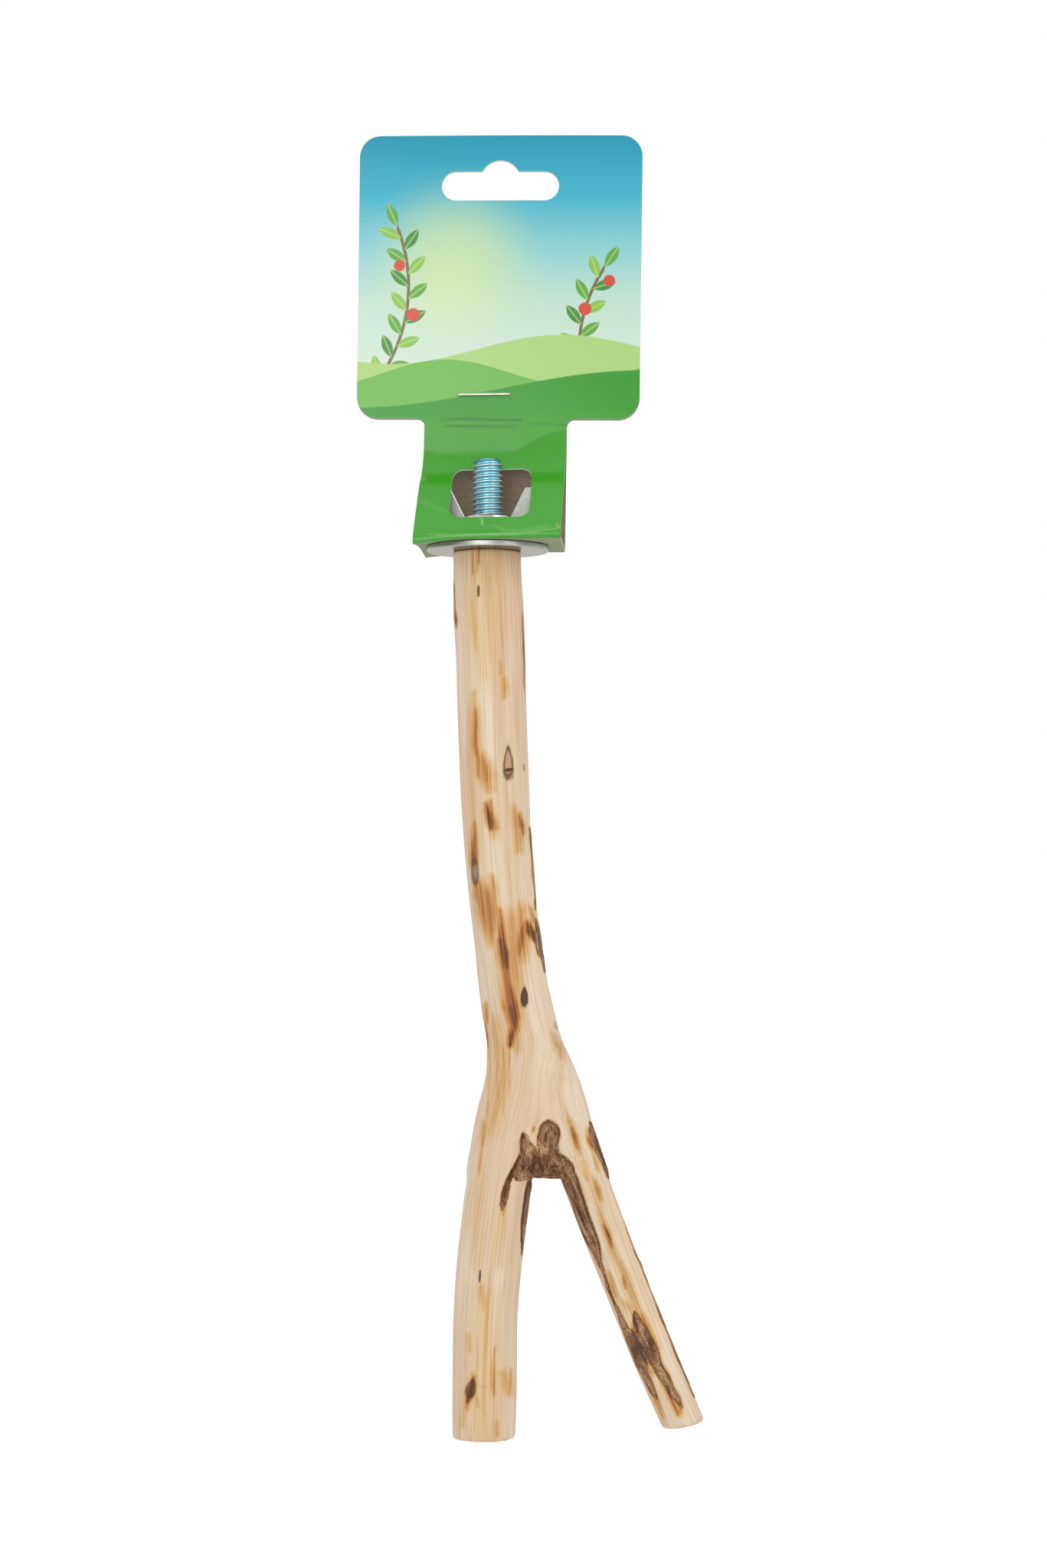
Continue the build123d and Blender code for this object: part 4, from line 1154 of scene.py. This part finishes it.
# Scuffs, creases and painted light on the front of the card, placed over the picture in its pixels: pale
# scuffs with a painted highlight on the bottom fold, and dark lines that paint the shade in the creases and
# at the staple
creaseMarks = {
    "scuffAndHighlight": [
        (0.6, 1.4, [(628, 676, 0.8), (630.5, 687, 0.6)]),
        # painted highlight: the next two marks light the crease of the bottom fold
        (0.12, 2.4, [(640, 686, 1), (664, 694, 2.4), (690, 692, 1.8), (716, 686, 1)]),
        (0.28, 1.6, [(560, 698, 0.6), (620, 699, 0.9), (680, 696, 0.9), (726, 690, 0.7)]),
        (0.35, 1.4, [(727, 684, 1.0), (730, 689, 1.2)]),
        (0.07, 3.0, [(552, 655, 1.5), (582, 668, 2.5)]),
    ],
    "scoreAndShade": [
        # painted shade: the next three dark lines stand for the shade in the scored creases of the neck
        (0.95, 1.4, [(575, 548, 0.8), (600, 547, 1.6), (650, 548, 1.3), (680, 549, 1.4)]),
        (0.95, 1.4, [(579, 556, 0.8), (610, 557, 1.5), (672, 557, 1.2)]),
        (0.6, 1.4, [(690, 552, 0.8), (738, 555, 1.2)]),
        # painted shade in the crease of the bottom fold
        (0.35, 2.0, [(639, 683, 1), (645, 690, 2), (651, 694, 1)]),
        # painted shadow where the staple's legs go in, at both its ends
        (0.9, 0.8, [(595.5, 513.5, 1.0), (596, 517.5, 1.1)]),
        (0.9, 0.8, [(668, 513.5, 1.0), (668, 517.5, 1.1)]),
    ],
}

# Coated board: clay-coated and varnished, so the print is bright and the gloss is even, with a faint tooth.
# Its print is a plain meadow: sky over three hills, with two leafy twigs and a few berries.
printed = {
    "sky": [(0.0, "#D3E3CF"), (0.3, "#BBDCCB"), (0.52, "#86CACD"), (0.74, "#36AFC6"), (1.0, "#0093AC")],
    "skySpan": (-24.0, 37.0),        # heights in mm from the header's middle
    "glow": ("#DCE78A", -12.0, 4.0, 27.0, 2.0, 0.6),     # colour, place, outer and inner reach, strength
    "hills": [                       # height, swing, wave length and shift in mm, front and back colours
        (-19.0, 3.6, 88.0, 6.0, "#AAD07A", "#D3E2C4"),
        (-25.0, 3.4, 66.0, 31.0, "#6DB548", "#C3DAAE"),
        (-29.5, 4.6, 150.0, 0.0, "#2F9420", "#AFCF96"),
    ],
    "neck": "#389A17",
    "neckSpan": (-34.5, -39.5),
    "hillEdge": 0.12,                # mm over which an edge softens
    "twigs": [                       # arc centre x and height, radius, first and last angle, leaves
        (61.0, -20.0, 40.0, 200.0, 146.0, 12),
        (-66.0, -2.0, 42.0, -38.0, 22.0, 14),
    ],
    "firstLeaf": 0.04,               # share of the stalk before it
    "leaf": (3.3, 1.35, 48.0),       # half length and half width in mm, slant from the stalk in degrees
    "leafEdge": (1.06, 0.94),
    "leafTones": ["#3C8B36", "#5CA53F", "#86BF4B"],
    "vein": "#C9DC86",
    "veinSpan": (0.2, 0.05, 0.6),    # where it starts and is full, in half widths, and its strength
    "stalk": "#7A6A3C",
    "stalkHalf": 0.42,
    "berries": [(22.6, -8.6, 1.7), (29.0, -1.2, 1.5), (-22.8, -9.6, 1.7), (-26.4, 3.4, 1.5)],
    "berry": "#D24A33",
    "berryEdge": 0.1,
    "back": "#DDE7D3",
    # pale scuffs with a painted highlight, and the dark of the painted shade in the creases
    "scuffAndHighlight": "#C4DDAE",
    "scoreAndShade": "#1F6D1B",
    "tooth": (0.35, 0.05, 0.0001),   # size in mm, strength, and height in metres
}


# Layers over the sky, each by its own share: glow, twigs, berries, hills, neck, the back's print, and scuffs
# with the painted highlight and painted shade of the creases
def makePrintedBoard():
    look = printed
    material, tree, shader = startMaterial("coatedBoard", IOR=1.5, Roughness=0.22)
    place = addNode(tree, "SeparateXYZ", {
        0: addNode(tree, "Attribute", attribute_name="print").outputs["Vector"],
    }).outputs
    x, z, panel = place["X"], place["Y"], place["Z"]
    spot = addNode(tree, "CombineXYZ", {"X": x, "Y": z})
    low, high = look["skySpan"]
    level = addNode(tree, "MapRange", {"Value": z, "From Min": low, "From Max": high})
    colour = addNode(tree, "ValToRGB", {"Fac": level}, stops=look["sky"])
    layers = []                      # each is a share and the colour that it lays over what is there

    tone, glowX, glowZ, outer, inner, strength = look["glow"]
    away = addNode(tree, "VectorMath", {0: spot, 1: (glowX, glowZ, 0)}, operation="DISTANCE")
    layers.append((addNode(tree, "MapRange", {
        "Value": away.outputs["Value"], "From Min": outer, "From Max": inner, "To Max": strength,
    }, interpolation_type="SMOOTHSTEP"), ink(tone)))

    # twigs: the stalk is the part of a thin ring that lies beyond a chord
    length, width, slant = look["leaf"]
    leafOuter, leafInner = look["leafEdge"]
    veinOuter, veinInner, veinShow = look["veinSpan"]
    for arcX, arcZ, radius, first, last, leaves in look["twigs"]:
        middle, half = math.radians(first + last) / 2, math.radians(last - first) / 2
        outward = addNode(tree, "VectorMath", {0: spot, 1: (arcX, arcZ, 0)}, operation="SUBTRACT")
        away = addNode(tree, "VectorMath", {0: outward}, operation="LENGTH").outputs["Value"]
        aside = addNode(tree, "Math", {0: away, 1: radius, 2: look["stalkHalf"]}, operation="COMPARE")
        chord = addNode(tree, "VectorMath", {
            0: outward, 1: (math.cos(middle), math.sin(middle), 0),
        }, operation="DOT_PRODUCT").outputs["Value"]
        beyond = addNode(tree, "Math", {0: chord, 1: radius * math.cos(half)}, operation="GREATER_THAN")
        stalk = addNode(tree, "Math", {0: aside, 1: beyond}, operation="MULTIPLY")
        layers.append((stalk, ink(look["stalk"])))
        # a leaf is a lens: in its own measures, the space where y is less than 1 less x squared
        for index, part in enumerate(np.linspace(look["firstLeaf"], 1.0, leaves)):
            angle = math.radians(first) + 2 * half * part
            side = 1 if index % 2 else -1
            turn = angle + math.copysign(math.pi / 2, half) - side * math.radians(slant) * (part < 1)
            reach = [math.cos(turn) * length, math.sin(turn) * length]
            own = addNode(tree, "Mapping", {
                "Vector": spot,
                "Location": (arcX + radius * math.cos(angle) + reach[0],
                             arcZ + radius * math.sin(angle) + reach[1], 0),
                "Rotation": (0, 0, turn), "Scale": (length, width, 1),
            }, vector_type="TEXTURE")
            own = addNode(tree, "SeparateXYZ", {0: own}).outputs
            across = addNode(tree, "Math", {0: own["Y"]}, operation="ABSOLUTE")
            bulge = addNode(tree, "Math", {0: own["X"], 1: own["X"], 2: across}, operation="MULTIPLY_ADD")
            share = addNode(tree, "MapRange", {"Value": bulge, "From Min": leafOuter, "From Max": leafInner})
            vein = addNode(tree, "MapRange", {
                "Value": across, "From Min": veinOuter, "From Max": veinInner, "To Max": veinShow,
            })
            tone = look["leafTones"][(index * 2 + leaves) % len(look["leafTones"])]
            layers.append((share, addNode(tree, "MixRGB", {
                "Fac": vein, "Color1": ink(tone), "Color2": ink(look["vein"]),
            }).outputs[0]))
    for berryX, berryZ, size in look["berries"]:
        away = addNode(tree, "VectorMath", {0: spot, 1: (berryX, berryZ, 0)}, operation="DISTANCE")
        layers.append((addNode(tree, "MapRange", {
            "Value": away.outputs["Value"],
            "From Min": size + look["berryEdge"], "From Max": size - look["berryEdge"],
        }), ink(look["berry"])))

    # hills: each is a sine line with its own green below it, and the neck is plain green
    backTone = ink(look["back"])
    soft = look["hillEdge"]
    for height, swing, wave, shift, green, backGreen in look["hills"]:
        pace = 2 * math.pi / wave
        swept = addNode(tree, "Math", {0: x, 1: pace, 2: shift * pace}, operation="MULTIPLY_ADD")
        swept = addNode(tree, "Math", {0: swept}, operation="SINE")
        swept = addNode(tree, "Math", {0: swept, 1: swing, 2: height}, operation="MULTIPLY_ADD")
        below = addNode(tree, "Math", {0: swept, 1: z}, operation="SUBTRACT")
        share = addNode(tree, "MapRange", {"Value": below, "From Min": -soft, "From Max": soft})
        layers.append((share, ink(green)))
        backTone = addNode(tree, "MixRGB", {"Fac": share, "Color1": backTone, "Color2": ink(backGreen)})
    low, high = look["neckSpan"]
    neckShare = addNode(tree, "MapRange", {"Value": z, "From Min": low, "From Max": high})
    layers.append((neckShare, ink(look["neck"])))
    # the back, panel 2 of the strip, carries the same hills on a pale ground
    backTone = addNode(tree, "MixRGB", {
        "Fac": neckShare, "Color1": backTone, "Color2": ink(look["neck"]),
    }).outputs[0]
    layers.append((addNode(tree, "Math", {0: panel, 1: 1.5}, operation="GREATER_THAN"), backTone))
    # scuffs with a painted highlight, and painted shade in the creases and at the staple's ends
    for name in ("scuffAndHighlight", "scoreAndShade"):
        layers.append((addNode(tree, "Attribute", attribute_name=name).outputs["Fac"], ink(look[name])))
    for share, tone in layers:
        colour = addNode(tree, "MixRGB", {"Fac": share, "Color1": colour, "Color2": tone})
    tree.links.new(colour.outputs[0], shader.inputs["Base Color"])
    size, strength, height = look["tooth"]
    tooth = addNode(tree, "TexNoise", {
        "Vector": addNode(tree, "TexCoord").outputs["Object"], "Scale": 1000 / size, "Detail": 2.0,
    }).outputs["Fac"]
    bump = addNode(tree, "Bump", {"Height": tooth, "Strength": strength, "Distance": height})
    tree.links.new(bump.outputs["Normal"], shader.inputs["Normal"])
    return material


# The board's other faces have no varnish, so all are matt: grey-brown recycled fibre inside, as cut and
# unprinted, a pale core with a breath of the print's colour on the cut edges, and a flat green tint below
# that is darkened as painted shade.
# A fibre is in mm along x, y and z, and a span is the noise levels of the first and last tone.
bareBoards = {
    "recycledBoard": {
        "roughness": 0.85, "mirror": 0.2, "fibre": (0.9, 0.3, 0.3), "detail": 4.0, "span": (0.35, 0.62),
        "tones": ("#8F7E6A", "#AB9A84"),
    },
    "cutBoardEdge": {
        "roughness": 0.8, "mirror": 0.2, "fibre": (0.4, 0.4, 0.4), "detail": 2.0, "span": (0.0, 1.0),
        "tones": ("#C6D3B8", "#E6EADA"),
    },
    # painted shade: the bottom's outer face, pale board turned down, is given this darker grey green
    "shadedUnderBoard": {
        "roughness": 0.7, "mirror": 0.05, "fibre": (1.5, 1.5, 1.5), "detail": 3.0, "span": (0.0, 1.0),
        "tones": ("#8E9A7D", "#A4AF93"),
    },
}


# Two tones of one board, mixed by a noise of the fibre's size
def makeBareBoard(name):
    look = bareBoards[name]
    material, tree, shader = startMaterial(
        name, IOR=1.45, Roughness=look["roughness"], Specular_IOR_Level=look["mirror"])
    laid = addNode(tree, "Mapping", {
        "Vector": addNode(tree, "TexCoord").outputs["Object"],
        "Scale": [1000 / size for size in look["fibre"]],
    })
    fibre = addNode(tree, "TexNoise", {"Vector": laid, "Scale": 1.0, "Detail": look["detail"]})
    low, high = look["span"]
    share = addNode(tree, "MapRange", {"Value": fibre.outputs["Fac"], "From Min": low, "From Max": high})
    first, last = [ink(tone) for tone in look["tones"]]
    mixed = addNode(tree, "MixRGB", {"Fac": share, "Color1": first, "Color2": last})
    tree.links.new(mixed.outputs["Color"], shader.inputs["Base Color"])
    return material


makeCard()

# Zinc plate: bright plated steel, faintly cloudy, with the soft scratches of tumbling. The stud's is
# passivated blue. A painted highlight lightens it where it is rounded between two faces, on the washers' rims
# and on the thread's crests. Real scratches are finer than 0.1 mm: they are drawn 0.5 mm wide so that they
# show.
plating = {
    # painted shade: the washers' tones are darker than the nut's zinc, for their undersides face down into
    # shade
    "washerZincInShade": {"main": "#7E7564", "cloud": "#6C6556", "roughness": 0.26, "paintedHighlight": "#9FA29B", "rim": True,
                   "across": (0, 0, 1), "nodes": ("lower_washer", "upper_washer")},
    "nutZinc": {"main": "#A0A59E", "cloud": "#8E928C", "roughness": 0.42, "paintedHighlight": "#F2F3EF",
                "across": (0.05, 1, 0), "nodes": ("wing_nut",)},
    "blueZinc": {"main": "#7FC2CF", "cloud": "#ABCBD2", "roughness": 0.36, "paintedHighlight": "#C9D5DC",
                 "crests": (3.66, 3.97), "nodes": ("hanger_bolt",)},
    "stapleWire": {"main": "#CCCBB6", "cloud": "#A9A894", "roughness": 0.3, "paintedHighlight": "#E2E1D2",
                   "across": (0, 0, 1), "nodes": ("staple",)},
}
plateGrain = {
    "cloud": (3.0, 0.42, 0.68),      # size in mm, and the noise levels between which it comes
    "scratch": 0.5,                  # mm
    "wearAndPaintedLight": (0.04, 0.2),             # how far rounded the metal is where the painted highlight starts and is full
    "dull": (-0.08, 0.14),           # added to the roughness between scratches and in them
    "relief": (0.12, 0.0001),        # strength, and height in metres
}


# Two tones mixed by clouds, under a painted highlight where the metal is rounded. Scratches set the roughness
# and the relief.
def makePlate(name, look):
    material, tree, shader = startMaterial(name, Metallic=1.0)
    coords = addNode(tree, "TexCoord").outputs
    spot = coords["Object"]
    size, low, high = plateGrain["cloud"]
    cloud, fine = [
        addNode(tree, "TexNoise", {"Vector": spot, "Scale": 1000 / mm, "Detail": 3.0}).outputs["Fac"]
        for mm in (size, plateGrain["scratch"])
    ]
    share = addNode(tree, "MapRange", {"Value": cloud, "From Min": low, "From Max": high})
    tone = addNode(tree, "MixRGB", {"Fac": share, "Color1": ink(look["main"]), "Color2": ink(look["cloud"])})
    # the painted highlight: on the thread's crests by their distance from the axis, elsewhere where the metal
    # is rounded
    if "crests" in look:
        low, high = look["crests"]           # mm from the axis
        flat = addNode(tree, "VectorMath", {0: spot, 1: (1000, 1000, 0)}, operation="MULTIPLY")
        away = addNode(tree, "VectorMath", {0: flat}, operation="LENGTH").outputs["Value"]
        wearAndPaintedLight = addNode(tree, "MapRange", {"Value": away, "From Min": low, "From Max": high})
    else:                                    # c2(1 - c2), or 1 - c2 on a rim, for the normal's share c across
        lean = addNode(tree, "VectorMath", {0: coords["Normal"], 1: look["across"]}, operation="DOT_PRODUCT")
        lean = lean.outputs["Value"]
        square = addNode(tree, "Math", {0: lean, 1: lean}, operation="MULTIPLY")
        rest = addNode(tree, "Math", {0: 1.0, 1: square}, operation="SUBTRACT")
        wearAndPaintedLight = rest if "rim" in look else addNode(tree, "Math", {0: square, 1: rest}, operation="MULTIPLY")
        low, high = plateGrain["wearAndPaintedLight"]
        wearAndPaintedLight = addNode(tree, "MapRange", {"Value": wearAndPaintedLight, "From Min": low, "From Max": high})
    tone = addNode(tree, "MixRGB", {"Fac": wearAndPaintedLight, "Color1": tone, "Color2": ink(look["paintedHighlight"])})
    tree.links.new(tone.outputs["Color"], shader.inputs["Base Color"])
    least, most = [look["roughness"] + added for added in plateGrain["dull"]]
    dull = addNode(tree, "MapRange", {"Value": fine, "To Min": least, "To Max": most})
    tree.links.new(dull.outputs[0], shader.inputs["Roughness"])
    strength, height = plateGrain["relief"]
    bump = addNode(tree, "Bump", {"Height": fine, "Strength": strength, "Distance": height})
    tree.links.new(bump.outputs["Normal"], shader.inputs["Normal"])
    return material


for name, look in plating.items():
    plate = makePlate(name, look)
    for nodeName in look["nodes"]:
        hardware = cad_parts[nodeName].data
        hardware.materials.clear()
        hardware.materials.append(plate)
print("hardware plated")

# Studio: white all round, a soft box in front on the left, a fill on the right, a lamp above, and a pale
# floor below the hanging branch
studio = {
    "ambient": 0.78,
    # name, place and aim in metres, width, height, roll in degrees, watts, and whether gloss mirrors the lamp
    "lamps": [
        ("softBox", (-0.13, -0.6, 0.045), (-0.13, 0.0, 0.045), 0.44, 0.28, -39.0, 0.75, True),
        ("fillLamp", (0.75, -0.7, 0.35), (0.01, 0.0, -0.06), 0.6, 0.6, 0.0, 1.6, True),
        ("topLamp", (-0.1, -0.2, 1.0), (0.01, 0.0, -0.06), 0.8, 0.8, 0.0, 1.6, False),
    ],
    "floorDrop": 270.0,       # mm
    "floorSize": 8000.0,
    "floorCells": 8,
    "floorTone": (0.8, 0.8, 0.8, 1),
    "floorGlow": 0.4,
}


# 1 for the rays that the eye follows, straight, off gloss and through glass, and 0 for those that only light
def seenRays(tree):
    rays = addNode(tree, "LightPath").outputs
    seen = addNode(tree, "Math", {
        0: rays["Is Camera Ray"], 1: rays["Is Glossy Ray"],
    }, operation="MAXIMUM")
    return addNode(tree, "Math", {0: seen, 1: rays["Is Transmission Ray"]}, operation="MAXIMUM")


world = bpy.data.worlds.new("studioWhite")
bpy.context.scene.world = world
world.use_nodes = True
tree = world.node_tree
level = addNode(tree, "MapRange", {"Value": seenRays(tree), "To Min": studio["ambient"], "To Max": 1.0})
tree.links.new(level.outputs[0], tree.nodes["Background"].inputs["Strength"])
tree.nodes["Background"].inputs["Color"].default_value = (1, 1, 1, 1)
for name, place, aim, width, height, roll, watts, mirrored in studio["lamps"]:
    lampData = bpy.data.lights.new(name, "AREA")
    lampData.shape = "RECTANGLE"
    lampData.size, lampData.size_y = width, height
    lampData.energy = watts
    lamp = bpy.data.objects.new(name, lampData)
    lamp.location = place
    lamp.visible_glossy = mirrored
    towards = (Vector(aim) - Vector(place)).to_track_quat("-Z", "Y")
    lamp.rotation_euler = (towards @ Quaternion((0, 0, 1), math.radians(roll))).to_euler()
    bpy.context.collection.objects.link(lamp)

# the floor is a square grid of flat cells, matt and white to the eye where no shadow falls
cells = studio["floorCells"]
grid = np.linspace(-0.5, 0.5, cells + 1) * studio["floorSize"]
floorX, floorY = np.meshgrid(grid, grid)
floorPoints = np.stack([floorX, floorY, np.full_like(floorX, -studio["floorDrop"])], 2).reshape(-1, 3)
cell = np.arange((cells + 1) ** 2).reshape(cells + 1, cells + 1)[:-1, :-1].ravel()
floorFaces = np.stack([cell, cell + 1, cell + cells + 2, cell + cells + 1], 1)
floor = makePiece("floor", floorPoints, floorFaces.tolist())
floorMaterial, tree, shader = startMaterial(
    "paleFloor", Roughness=0.9, Specular_IOR_Level=0.0, Base_Color=studio["floorTone"],
    Emission_Color=(1, 1, 1, 1))
lift = addNode(tree, "Math", {0: seenRays(tree), 1: studio["floorGlow"]}, operation="MULTIPLY")
tree.links.new(lift.outputs[0], shader.inputs["Emission Strength"])
# from below, the floor lets the view through
facing = addNode(tree, "NewGeometry").outputs["Backfacing"]
surface = addNode(tree, "MixShader", {0: facing, 1: shader, 2: addNode(tree, "BsdfTransparent")})
tree.links.new(surface.outputs[0], tree.nodes["Material Output"].inputs["Surface"])
floor.data.materials.append(floorMaterial)
print("studio lit")
